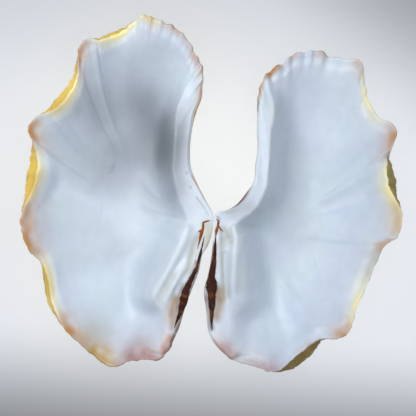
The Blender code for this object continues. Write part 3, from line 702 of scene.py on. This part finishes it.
def hollow_point(shape, valve, turn, part, share):
    """A point of the hollow and how far it is inside the lip: part 0 runs over the rim as share goes
    from 0 at the lip to 1, and part 1 on from there to the middle of the bowl."""
    lip = lip_at(valve, turn)
    middle = np.array(valve.middle) * MM
    start = lip[..., :2]
    reach = np.linalg.norm(start - middle, axis=-1)
    edge_width = np.maximum(np.clip(lip[..., 4], 0.0, 0.7 * reach), EDGE_WIDTH)
    inward = np.where(part == 0, share * edge_width, edge_width + share * (reach - edge_width))
    plan = start + (inward / reach)[..., None] * (middle - start)
    past = flare(valve, turn) * (1.0 - smooth(0.0, FLARE_FADE, inward))
    plan = plan + outward(valve, turn) * past[..., None]
    height = lip_height(shape, valve, turn, lip)
    gap, steepness = plate_gap(valve, plan)
    flat = 1.0 - smooth(0.0, 6.0 * MM, gap)
    beyond = np.sqrt(gap**2 + RIM_ROUNDING**2) - RIM_ROUNDING
    plate = height + (shape.lip_height - height) * smooth(0.0, 2.0 * EDGE_WIDTH, inward)
    plate = plate - PLATE_DROP * flat * smooth(0.0, EDGE_WIDTH, inward)
    plate = plate - steepness * beyond - beyond**2 / PLATE_CURVE
    at_lip = height - belly_level(shape, valve, start)
    inner = smooth(0.0, WALL_START, inward)
    bowl = belly_level(shape, valve, plan) + at_lip * (1.0 - inner) + shape.wall * inner
    blend = (RIM_BLEND + FOOT_BLEND * gap) * smooth(0.0, EDGE_WIDTH, inward)
    level = 0.5 * (plate + bowl + np.sqrt((plate - bowl) ** 2 + blend**2))
    level = level + relief_height(valve, plan) * smooth(0.0, 2.0 * MM, inward)
    level = level - LIP_ROUNDING * np.maximum(1.0 - inward / LIP_ROUNDING_WIDTH, 0.0) ** 2
    spot = np.concatenate((plan, np.zeros_like(level)[..., None]), axis=-1)
    level = level + 0.5 * MM * noise(spot, 22 * MM, valve.seed + 9) * smooth(0.0, WALL_START, inward)
    level = level + 0.12 * MM * noise(spot, 6 * MM, valve.seed + 10)
    return np.concatenate((plan, level[..., None]), axis=-1), inward


def edge_point(shape, valve, turn, lean, share):
    """A point past the lip: lean goes from 0 to 1 round the lip's edge, and then share from 0 to 1
    down the outermost scute to its ragged edge."""
    lip = lip_at(valve, turn)
    reach = reach_at(valve, turn, lip)
    first = np.minimum(LIP_EDGE, lip[..., 3])
    angle = 0.5 * np.pi * lean
    out = first * np.sin(angle) + np.maximum(reach - first, 0.0) * share
    down = LIP_ROUNDING + (0.5 * LIP_THICKNESS - LIP_ROUNDING) * (1.0 - np.cos(angle))
    rest = 0.5 * LIP_THICKNESS + BEVEL_SLOPE * lip[..., 3]
    curl = 0.5 * MM * around(turn, 0.0, 0.008, 1.0, valve.seed + 11) * smooth(1.0 * MM, 4.0 * MM, reach)
    down = down + rest * share**0.8 + curl * share**2
    plan = lip_plan(valve, turn, lip, out + flare(valve, turn))
    level = lip_height(shape, valve, turn, lip) - down
    return np.concatenate((plan, level[..., None]), axis=-1)


def even_out(points, row):
    """Evens the bowl's middle, where the columns crowd: it passes into one gently curved surface."""
    cap = np.flatnonzero(row <= CAP_ROWS)
    across, along = ((points[cap, :2] - points[cap, :2].mean(axis=0)) / CAP_SCALE).T
    powers = [(i, j) for i in range(CAP_DEGREE + 1) for j in range(CAP_DEGREE + 1 - i)]
    terms = np.stack([across**i * along**j for i, j in powers], axis=-1)
    even = terms @ np.linalg.lstsq(terms, points[cap, 2], rcond=None)[0]
    keep = smooth(0.3, 1.0, row[cap] / CAP_ROWS)
    points[cap, 2] = even + (points[cap, 2] - even) * keep


def hollow_rows():
    """The rows of the hollow as (part, share), from the middle of the bowl out to the lip."""
    bowl = [(1, 1.0 - i / BOWL_ROWS) for i in range(BOWL_ROWS)]
    return bowl + [(0, (1.0 - i / RIM_ROWS) ** 1.5) for i in range(RIM_ROWS + 1)]


def edge_rows():
    """The rows past the lip as (lean, share)."""
    round_lip = [((i + 1) / LIP_ROWS, 0.0) for i in range(LIP_ROWS)]
    return round_lip + [(1.0, (i + 1) / PLATE_ROWS) for i in range(PLATE_ROWS)]


def outside_rows():
    """The rows of the outside as (growth, lift), from under the skirt in to the beak."""
    rows = [(0.02, 0.0), (0.045, 0.0), (0.07, 0.0)]
    low = 0.07
    for high in SCUTE_ROWS:
        for i in range(1, SCUTE_STEPS + 1):
            share = i / SCUTE_STEPS
            rows.append((low + share * (high - low), share**SCUTE_CURVE))
        rows.append((high + 0.25 * SCUTE_FOOT, 0.9))
        rows.append((high + 0.6 * SCUTE_FOOT, 0.45))
        low = high + SCUTE_FOOT
        rows.append((low, 0.0))
    rows += [(low + share * (0.995 - low), 0.0) for share in (0.25, 0.5, 0.75, 1.0)]
    return rows[::-1]


def stain_and_painted_light_masks(valve, turn, inward, plan):
    """How strong each kind of stain, painted shade and painted highlight is at each vertex, from 0 to 1.
    """
    masks = {kind: np.zeros(turn.shape) for kind in STAINS_AND_PAINTED_LIGHT}
    patchy = 0.92 + 0.35 * noise(np.stack((plan[:, 0], plan[:, 1], inward), axis=-1), 5 * MM, valve.seed)
    for kind, station, width, depth, strength in valve.stains:
        gap = station_gap(valve, turn, station) / width
        fade = np.exp(-(np.maximum(inward, 0.0) / (depth * MM)) ** 1.5)
        fade = np.where(inward < 0.0, np.exp(inward / (2.0 * depth * MM)), fade)
        masks[kind] = np.maximum(masks[kind], strength * np.exp(-(gap**4 + gap**2) / 1.4) * fade * patchy)
    for kind, line, width, strength in valve.marks:
        gap = near_line(plan, line)[0]
        mark = strength * np.exp(-((gap / (width * MM)) ** 2))
        # The painted shade low in the bowl is smooth and adds up where it overlaps; the other marks are
        # patchy stains and films, and some grey ones are painted shade in the hinge grooves
        if kind == "painted_deep_shade":
            masks[kind] = masks[kind] + (1.0 - masks[kind]) * mark
        else:
            masks[kind] = np.maximum(masks[kind], mark * patchy)
    return masks


def valve_points(shape, valve, column, row, columns):
    """The place of each of the drum's vertices, given its column and its row from the top pole,
    and what the materials read there."""
    turn = column / columns
    inner = np.array(hollow_rows())
    edge = np.array(edge_rows())
    outer = np.array([*outside_rows(), (0.0, 0.0)])
    last_inner = len(inner) - 1
    last_edge = last_inner + len(edge)
    on_edge = (row > last_inner) & (row <= last_edge)
    outside = row > last_edge
    hollow = row <= last_inner
    lip = lip_at(valve, turn)
    points = np.zeros((len(turn), 3))
    inward = np.zeros(len(turn))
    growth = np.ones(len(turn))
    lift = np.zeros(len(turn))
    part, share = inner[row[hollow]].T
    points[hollow], inward[hollow] = hollow_point(shape, valve, turn[hollow], part, share)
    even_out(points, row)
    lean, plate = edge[row[on_edge] - last_inner - 1].T
    points[on_edge] = edge_point(shape, valve, turn[on_edge], lean, plate)
    inward[on_edge] = -(lean * LIP_EDGE + plate * lip[on_edge, 3])
    growth[outside], lift[outside] = outer[row[outside] - last_edge - 1].T
    points[outside] = outside_point(shape, valve, turn[outside], growth[outside], lift[outside])
    inward[outside] = -np.maximum(lip[outside, 3], LIP_EDGE) - (1.0 - growth[outside]) * LONGEST_RAY
    points[:, 2] = np.maximum(points[:, 2], 0.0)
    masks = stain_and_painted_light_masks(valve, turn, inward, points[:, :2])
    # The pale layer's third number is painted shade low in the bowl, and the last number of place is how
    # much of the olive the outside takes, which is partly painted shade.
    colours = {
        "warm_stain_and_shade": [masks[kind] for kind in ("tan", "ochre", "pink", "brown")],
        "pale_stain_and_painted_light": [masks["yellow"], masks["grey"], masks["painted_deep_shade"], lift],
        "place": [inward / MM, growth, -lip[:, 2], np.full(turn.shape, valve.olive_and_shade)],
    }
    return points, colours, inward > -LIP_EDGE


def put_in_place(valve, points):
    """Measures from the hinge point turned into the frame's."""
    points = points * (valve.side, 1.0, 1.0)
    return points + (HINGE_X, HINGE_Y, 0.0)


def finish_piece(name, bm, materials, node):
    """Turns a bmesh into a smooth piece on the body, standing for a node of the frame."""
    mesh = bpy.data.meshes.new(name)
    bm.to_mesh(mesh)
    bm.free()
    mesh.shade_smooth()
    for made in materials:
        mesh.materials.append(made)
    piece = bpy.data.objects.new(name, mesh)
    bpy.context.scene.collection.objects.link(piece)
    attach(piece, BODY)
    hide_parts(node)
    return piece


def drum(rows, columns):
    """A closed drum rolled from a grid, and each vertex's column and row from its top pole."""
    bm = bmesh.new()
    bmesh.ops.create_grid(bm, x_segments=columns, y_segments=rows, size=0.5)
    for vert in bm.verts:
        angle = 2.0 * math.pi * (vert.co.x + 0.5)
        row = round((vert.co.y + 0.5) * rows)
        radius = 0.0 if row in (0, rows) else 1.0
        vert.co = (radius * math.cos(angle), radius * math.sin(angle), row)
    bmesh.ops.remove_doubles(bm, verts=bm.verts, dist=0.001)
    bm.verts.ensure_lookup_table()
    bm.verts.index_update()
    places = np.array([vert.co[:] for vert in bm.verts])
    column = np.rint(np.arctan2(places[:, 1], places[:, 0]) * columns / (2.0 * np.pi))
    return bm, column % columns, np.rint(places[:, 2]).astype(int)


def face_outward(bm):
    """Turns a closed mesh's faces outward where they all face inward."""
    if bm.calc_volume(signed=True) < 0.0:
        bmesh.ops.reverse_faces(bm, faces=bm.faces)


def make_valve(shape, valve, materials):
    """One half of the shell as a closed mesh, with the layers that its materials read."""
    rows = len(hollow_rows()) + len(edge_rows()) + len(outside_rows())
    bm, column, row = drum(rows, COLUMNS)
    points, colours, is_hollow = valve_points(shape, valve, column, row, COLUMNS)
    for vert, point in zip(bm.verts, put_in_place(valve, points)):
        vert.co = point
    face_outward(bm)
    for face in bm.faces:
        face.material_index = 0 if all(is_hollow[vert.index] for vert in face.verts) else 1
    piece = finish_piece(f"{valve.name}_shell", bm, materials, f"{valve.name}_valve")
    for name, values in colours.items():
        layer = piece.data.attributes.new(name, "FLOAT_COLOR", "POINT")
        layer.data.foreach_set("color", np.stack(values, axis=-1).astype(np.float32).ravel())
    return piece


def make_strands(valve, shell, materials):
    """The dried ligament: strips that lie on the hinge plate and sink a little into it."""
    tree = BVHTree.FromPolygons(
        [vert.co[:] for vert in shell.data.vertices],
        [poly.vertices[:] for poly in shell.data.polygons],
    )
    whole = bmesh.new()
    for number, strand in enumerate(valve.strands):
        rows, columns = (150, 20) if len(strand) > 3 else (40, 12)
        bm, column, row = drum(rows, columns)
        line = np.array(strand, float) * MM
        steps = np.linalg.norm(np.diff(line[:, :2], axis=0), axis=1)
        along = np.concatenate(([0.0], np.cumsum(steps)))
        place = row / rows * along[-1]
        values = np.stack([np.interp(place, along, line[:, i]) for i in range(4)], axis=-1)
        ahead = np.stack([np.interp(place + MM, along, line[:, i]) for i in range(2)], axis=-1)
        back = np.stack([np.interp(place - MM, along, line[:, i]) for i in range(2)], axis=-1)
        run = ahead - back
        run /= np.linalg.norm(run, axis=1, keepdims=True)
        square = np.stack((-run[:, 1], run[:, 0]), axis=-1)
        angle = 2.0 * np.pi * column / columns
        taper = np.sqrt(np.clip(np.sin(np.pi * row / rows), 0.0, 1.0)) ** 0.7
        spot = np.stack((values[:, 0], values[:, 1], place), axis=-1)
        uneven = 1.0 + 0.2 * noise(spot, 4.0 * MM, valve.seed + 20 + number)
        width = STRAND_WIDTH * values[:, 2] * uneven * taper
        uneven = 1.0 + 0.25 * noise(spot, 3.0 * MM, valve.seed + 30 + number)
        tall = STRAND_TALL * values[:, 3] * uneven * taper
        rough = np.stack((place, np.cos(angle) * 2 * MM, np.sin(angle) * 2 * MM), axis=-1)
        width = width * (1.0 + 0.1 * noise(rough, 0.9 * MM, valve.seed + 40))
        plan = values[:, :2] + square * (width * np.cos(angle))[:, None]
        points = put_in_place(valve, np.concatenate((plan, np.zeros((len(plan), 1))), axis=1))
        for vert, point in zip(bm.verts, points):
            found = tree.ray_cast((point[0], point[1], 1.0), (0.0, 0.0, -1.0))[0]
            ground = found.z if found is not None else -1.0
            vert.co = (point[0], point[1], ground)
        settle_strand(bm, row, tall * np.sin(angle))
        face_outward(bm)
        thin = line[:, 2].max() < THIN_STRAND
        for face in bm.faces:
            face.material_index = int(thin)
        part = bpy.data.meshes.new("strand")
        bm.to_mesh(part)
        bm.free()
        whole.from_mesh(part)
        bpy.data.meshes.remove(part)
    return finish_piece(
        f"{valve.name}_dried_ligament", whole, materials, f"{valve.name}_ligament"
    )


def settle_strand(bm, row, rise):
    """Gives each cross-section of a strand one ground level, and raises its upper half from there."""
    grounds = {}
    for vert, number in zip(bm.verts, row):
        if vert.co.z > 0.0:
            grounds.setdefault(number, []).append(vert.co.z)
    numbers = sorted(grounds)
    levels = np.interp(np.arange(max(row) + 1), numbers, [max(grounds[n]) for n in numbers])
    kernel = np.ones(5) / 5.0
    levels = np.convolve(np.pad(levels, 2, mode="edge"), kernel, mode="valid")
    for vert, number, up in zip(bm.verts, row, rise):
        vert.co.z = levels[number] + up


def add(tree, kind, inputs=None, **settings):
    """Adds a node, sets its properties, and sets or links its inputs."""
    node = tree.nodes.new(kind)
    for name, value in settings.items():
        setattr(node, name, value)
    for name, value in (inputs or {}).items():
        if isinstance(value, bpy.types.NodeSocket):
            tree.links.new(value, node.inputs[name])
        else:
            node.inputs[name].default_value = value
    return node


def blend_colour(tree, share, first, second, mode="MIX"):
    """The output of a colour mix, where share is a number or a socket."""
    colours = [c if isinstance(c, bpy.types.NodeSocket) else (*c, 1.0) for c in (first, second)]
    mixed = add(tree, "ShaderNodeMix", {0: share, 6: colours[0], 7: colours[1]},
                data_type="RGBA", blend_type=mode)
    return mixed.outputs[2]


def calculate(tree, operation, first, second=0.0, third=0.0):
    """The output of a sum on numbers or sockets."""
    inputs = {0: first, 1: second, 2: third}
    return add(tree, "ShaderNodeMath", inputs, operation=operation).outputs[0]


def remap(tree, value, low, high, to_low=0.0, to_high=1.0):
    """A socket's value moved smoothly from one range to another, and held at its ends."""
    inputs = {"Value": value, "From Min": low, "From Max": high, "To Min": to_low, "To Max": to_high}
    return add(tree, "ShaderNodeMapRange", inputs, interpolation_type="SMOOTHSTEP").outputs[0]


def new_material(name, shader_settings):
    """A material and its shader, with the shader's own sockets set."""
    made = bpy.data.materials.new(name)
    made.use_nodes = True
    tree = made.node_tree
    shader = tree.nodes["Principled BSDF"]
    for socket, value in shader_settings.items():
        shader.inputs[socket].default_value = value
    return made, tree, shader


def read_layer(tree, name):
    """The four numbers of one of the shell's own layers."""
    layer = add(tree, "ShaderNodeAttribute", attribute_name=name)
    parts = add(tree, "ShaderNodeSeparateXYZ", {0: layer.outputs["Vector"]})
    return [*parts.outputs, layer.outputs["Alpha"]]


def noise_value(tree, coords, millimetres, detail=3.0, distortion=0.0):
    """Noise from 0 to 1 for a material, with patches about this many millimetres across."""
    inputs = {"Vector": coords, "Scale": per(millimetres), "Detail": detail, "Distortion": distortion}
    return add(tree, "ShaderNodeTexNoise", inputs).outputs["Fac"]


def stains_and_painted_light(tree, colours, base, warm, pale):
    """The base colour under the shell's stains, where the yellow is partly a painted highlight and the
    grey and the brown partly painted shade.
    """
    layers = ((pale[0], colours.yellow), (pale[1], colours.grey), (warm[1], colours.ochre),
              (warm[0], colours.tan), (warm[2], colours.pink), (warm[3], colours.brown))
    for mask, colour in layers:
        base = blend_colour(tree, mask, base, colour)
    return base


def porcelain_material(colours):
    """Aragonite porcelain, laid down in thin sheets and polished by the mantle: a cool white with faint
    lavender and green patches and a soft, satin gloss, and painted shade that greys the bowl low under the
    byssal rim."""
    made, tree, shader = new_material("porcelaneous_aragonite", {
        "IOR": 1.55, "Specular IOR Level": 0.5,
        "Subsurface Weight": 0.1, "Subsurface Radius": (1.0, 0.9, 0.8), "Subsurface Scale": 0.002,
    })
    coords = add(tree, "ShaderNodeTexCoord").outputs["Object"]
    warm, pale, place = (read_layer(tree, name) for name in ("warm_stain_and_shade", "pale_stain_and_painted_light", "place"))
    patches = remap(tree, noise_value(tree, coords, 60, 2.0), 0.4, 0.65, 0.0, 0.45)
    base = blend_colour(tree, patches, colours.porcelain, colours.lavender)
    green = remap(tree, noise_value(tree, coords, 45, 2.0, 0.4), 0.5, 0.75, 0.0, 0.5)
    base = blend_colour(tree, green, base, colours.sea_white)
    mottled = remap(tree, noise_value(tree, coords, 7, 4.0), 0.3, 0.7, 0.97, 1.02)
    mottle = add(tree, "ShaderNodeCombineColor", {0: mottled, 1: mottled, 2: mottled}).outputs[0]
    base = blend_colour(tree, 1.0, base, mottle, "MULTIPLY")
    # Painted shade: the bowl greyed where it lies low under the byssal rim.
    base = blend_colour(tree, pale[2], base, colours.painted_deep_shade)
    base = stains_and_painted_light(tree, colours, base, warm, pale)
    tree.links.new(base, shader.inputs["Base Color"])
    gloss = remap(tree, noise_value(tree, coords, 12, 3.0), 0.3, 0.7, 0.48, 0.6)
    tree.links.new(gloss, shader.inputs["Roughness"])
    sheets = calculate(tree, "MULTIPLY", place[0], 2.0 * math.pi / SHEET_GAP)
    lines = calculate(tree, "SINE", sheets)
    near_lip = remap(tree, place[0], 25.0, 2.0)
    lines = calculate(tree, "MULTIPLY", lines, near_lip)
    fine = calculate(tree, "MULTIPLY_ADD", noise_value(tree, coords, 1.6, 4.0), 1.5,
                     calculate(tree, "MULTIPLY", lines, 0.12))
    bump = add(tree, "ShaderNodeBump", {"Height": fine, "Strength": 0.25, "Distance": 0.00012})
    tree.links.new(bump.outputs[0], shader.inputs["Normal"])
    return made


def outside_material(colours):
    """The chalky outer layer, grown in rough sheets: matt, yellow where it is young, worn to grey white by
    the beak, with a brown film in its grooves; on the right valve the young part is olive, partly its own
    colour and partly painted shade."""
    made, tree, shader = new_material("chalky_outer_layer", {
        "IOR": 1.52, "Specular IOR Level": 0.35,
        "Subsurface Weight": 0.08, "Subsurface Radius": (1.0, 0.8, 0.5), "Subsurface Scale": 0.0015,
    })
    coords = add(tree, "ShaderNodeTexCoord").outputs["Object"]
    warm, pale, place = (read_layer(tree, name) for name in ("warm_stain_and_shade", "pale_stain_and_painted_light", "place"))
    # The olive of the right valve is partly its own colour and partly painted shade.
    young = blend_colour(tree, place[3], colours.fresh, colours.olive_and_shade)
    patchy = calculate(tree, "MULTIPLY", noise_value(tree, coords, 14, 4.0), 0.3)
    age = calculate(tree, "ADD", place[1], patchy)
    youth = remap(tree, age, 0.82, 1.14)
    base = blend_colour(tree, youth, colours.chalk, young)
    bands = calculate(tree, "SINE", calculate(tree, "MULTIPLY_ADD", place[1], 150.0,
                      calculate(tree, "MULTIPLY", noise_value(tree, coords, 8, 3.0), 9.0)))
    base = blend_colour(tree, remap(tree, bands, 0.2, 1.0, 0.0, 0.16), base, colours.chalk)
    film = remap(tree, noise_value(tree, coords, 5, 5.0, 0.6), 0.52, 0.72, 0.0, 0.45)
    low = remap(tree, place[2], 0.4, -0.6)
    base = blend_colour(tree, calculate(tree, "MULTIPLY", film, low), base, colours.brown)
    base = blend_colour(tree, remap(tree, noise_value(tree, coords, 2.2, 4.0), 0.55, 0.75, 0.0, 0.16),
                        base, colours.chalk)
    # Near the lip the stains run onto the outside, with the painted highlight and shade that some of them
    # carry.
    under = calculate(tree, "MULTIPLY", remap(tree, place[0], -30.0, 0.0), 0.9)
    stains = [calculate(tree, "MULTIPLY", mask, under) for mask in warm]
    pales = [calculate(tree, "MULTIPLY", mask, 0.4) for mask in pale]
    base = stains_and_painted_light(tree, colours, base, stains, pales)
    tree.links.new(base, shader.inputs["Base Color"])
    gloss = remap(tree, noise_value(tree, coords, 4, 3.0), 0.3, 0.7, 0.6, 0.85)
    tree.links.new(gloss, shader.inputs["Roughness"])
    grit = calculate(tree, "MULTIPLY_ADD", noise_value(tree, coords, 1.2, 5.0), 1.0,
                     calculate(tree, "MULTIPLY", bands, 0.3))
    bump = add(tree, "ShaderNodeBump", {"Height": grit, "Strength": 0.6, "Distance": 0.0004})
    tree.links.new(bump.outputs[0], shader.inputs["Normal"])
    return made


def ligament_material(name, colours, main_colour, most_amber):
    """Dried ligament, a horny protein: nearly black where it is thick, amber where it is thin,
    drawn out in fibres and dull."""
    made, tree, shader = new_material(name, {"IOR": 1.54, "Specular IOR Level": 0.15})
    coords = add(tree, "ShaderNodeTexCoord").outputs["Object"]
    thin = remap(tree, noise_value(tree, coords, 4, 3.0, 0.5), 0.5, 0.7, 0.0, most_amber)
    base = blend_colour(tree, thin, main_colour, colours.amber)
    drawn_out = add(tree, "ShaderNodeVectorMath", {0: coords, 1: (1.0, 0.22, 1.0)}, operation="MULTIPLY")
    fibres = noise_value(tree, drawn_out.outputs[0], 0.5, 3.0, 0.6)
    base = blend_colour(tree, remap(tree, fibres, 0.58, 0.72, 0.0, 0.6 * most_amber), base, colours.amber)
    tree.links.new(base, shader.inputs["Base Color"])
    gloss = remap(tree, noise_value(tree, coords, 2, 3.0), 0.3, 0.7, 0.45, 0.75)
    tree.links.new(gloss, shader.inputs["Roughness"])
    height = calculate(tree, "ADD", fibres, noise_value(tree, coords, 0.8, 4.0))
    bump = add(tree, "ShaderNodeBump", {"Height": height, "Strength": 0.7, "Distance": 0.0004})
    tree.links.new(bump.outputs[0], shader.inputs["Normal"])
    return made


def paper_material(colours):
    """Studio paper: matt, white in the middle, with painted shade that turns it pale grey towards the
    corners.
    """
    made, tree, shader = new_material("studio_paper", {"Specular IOR Level": 0.2})
    coords = add(tree, "ShaderNodeTexCoord").outputs["Object"]
    # Painted shade: each painted floor shade greys the floor, easing off again far from the middle.
    far = 0.0
    for way, start, end, most in PAINTED_FLOOR_SHADES:
        along = add(tree, "ShaderNodeVectorMath", {0: coords, 1: way}, operation="DOT_PRODUCT")
        far = calculate(tree, "ADD", far, remap(tree, along.outputs["Value"], start, end, 0.0, most))
    length = add(tree, "ShaderNodeVectorMath", {0: coords}, operation="LENGTH")
    far = calculate(tree, "MULTIPLY", far, remap(tree, length.outputs["Value"], 0.21, 0.4, 1.0, 0.12))
    base = blend_colour(tree, far, colours.paper, colours.painted_floor_shade)
    tree.links.new(base, shader.inputs["Base Color"])
    gloss = remap(tree, noise_value(tree, coords, 1.0, 3.0), 0.3, 0.7, 0.85, 0.95)
    tree.links.new(gloss, shader.inputs["Roughness"])
    return made


class CLAM_OT_valves(bpy.types.Operator):
    """Builds the two valves of the shell, each one closed mesh"""

    bl_idname = "clam.valves"
    bl_label = "Valves"

    def execute(self, context):
        colours = context.scene.clam_colours
        materials = [porcelain_material(colours), outside_material(colours)]
        for valve in VALVES:
            make_valve(context.scene.clam_shape, valve, materials)
        return {"FINISHED"}


class CLAM_OT_ligament(bpy.types.Operator):
    """Lays the dried ligament on the hinge plate of each valve"""

    bl_idname = "clam.ligament"
    bl_label = "Dried ligament"

    def execute(self, context):
        colours = context.scene.clam_colours
        materials = [
            ligament_material("dried_ligament", colours, colours.ligament, 0.3),
            ligament_material("thin_dried_ligament", colours, colours.amber_brown, 0.9),
        ]
        for valve in VALVES:
            make_strands(valve, bpy.data.objects[f"{valve.name}_shell"], materials)
        return {"FINISHED"}


def make_light(name, place, target, size, power, colour=(1.0, 1.0, 1.0)):
    """A round area light that points at a target."""
    data = bpy.data.lights.new(name, "AREA")
    data.shape = "DISK"
    data.size = size
    data.energy = power
    data.color = colour
    light = bpy.data.objects.new(name, data)
    bpy.context.scene.collection.objects.link(light)
    light.location = place
    light.rotation_euler = (Vector(target) - Vector(place)).to_track_quat("-Z", "Y").to_euler()
    return light


def light_group(name, objects):
    """A collection that lights can be kept to; it isn't linked to the scene."""
    group = bpy.data.collections.new(name)
    for member in objects:
        group.objects.link(member)
    return group


class CLAM_OT_stage(bpy.types.Operator):
    """Lays the pale floor and sets the soft lights and the camera that looks straight down"""

    bl_idname = "clam.stage"
    bl_label = "Stage"

    def execute(self, context):
        scene = context.scene
        bm = bmesh.new()
        bmesh.ops.create_grid(bm, x_segments=8, y_segments=8, size=FLOOR_SIZE / 2.0)
        mesh = bpy.data.meshes.new("floor")
        bm.to_mesh(mesh)
        bm.free()
        mesh.materials.append(paper_material(scene.clam_colours))
        floor = bpy.data.objects.new("floor", mesh)
        scene.collection.objects.link(floor)
        floor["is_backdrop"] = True
        shell = light_group("lit_shell", list(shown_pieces()))
        ground = light_group("lit_floor", [floor])
        key = make_light("key", *KEY)
        key.light_linking.receiver_collection = shell
        fill = make_light("fill", *FILL)
        fill.light_linking.receiver_collection = shell
        make_light("overhead", *OVERHEAD)
        backdrop = make_light("backdrop", *BACKDROP, COOL_WHITE)
        backdrop.light_linking.receiver_collection = ground
        backdrop.light_linking.blocker_collection = ground
        world = bpy.data.worlds.new("studio")
        world.use_nodes = True
        background = world.node_tree.nodes["Background"]
        background.inputs["Color"].default_value = (1.0, 1.0, 1.0, 1.0)
        background.inputs["Strength"].default_value = WORLD_STRENGTH
        scene.world = world
        camera_data = bpy.data.cameras.new("camera")
        camera_data.lens = CAMERA_LENS
        camera_data.clip_start = 0.01
        camera = bpy.data.objects.new("camera", camera_data)
        camera.location = CAMERA_PLACE
        scene.collection.objects.link(camera)
        scene.camera = camera
        scene.view_settings.view_transform = "Standard"
        return {"FINISHED"}


class CLAM_PT_panel(bpy.types.Panel):
    """The shell's pieces and the stage"""

    bl_idname = "CLAM_PT_panel"
    bl_label = "Giant Clam Shell"
    bl_space_type = "VIEW_3D"
    bl_region_type = "UI"
    bl_category = "Giant Clam"

    def draw(self, context):
        for group in (context.scene.clam_shape, context.scene.clam_colours):
            box = self.layout.box()
            for name in group.__annotations__:
                box.prop(group, name)
        for operator in (CLAM_OT_valves, CLAM_OT_ligament, CLAM_OT_stage):
            self.layout.operator(operator.bl_idname)


CLASSES = (ClamShape, ClamColours, CLAM_OT_valves, CLAM_OT_ligament, CLAM_OT_stage, CLAM_PT_panel)


def register():
    for made in CLASSES:
        bpy.utils.register_class(made)
    bpy.types.Scene.clam_shape = bpy.props.PointerProperty(type=ClamShape)
    bpy.types.Scene.clam_colours = bpy.props.PointerProperty(type=ClamColours)


def unregister():
    del bpy.types.Scene.clam_shape
    del bpy.types.Scene.clam_colours
    for made in reversed(CLASSES):
        bpy.utils.unregister_class(made)


def main():
    register()
    bpy.ops.clam.valves()
    bpy.ops.clam.ligament()
    bpy.ops.clam.stage()


if __name__ == "__main__":
    main()
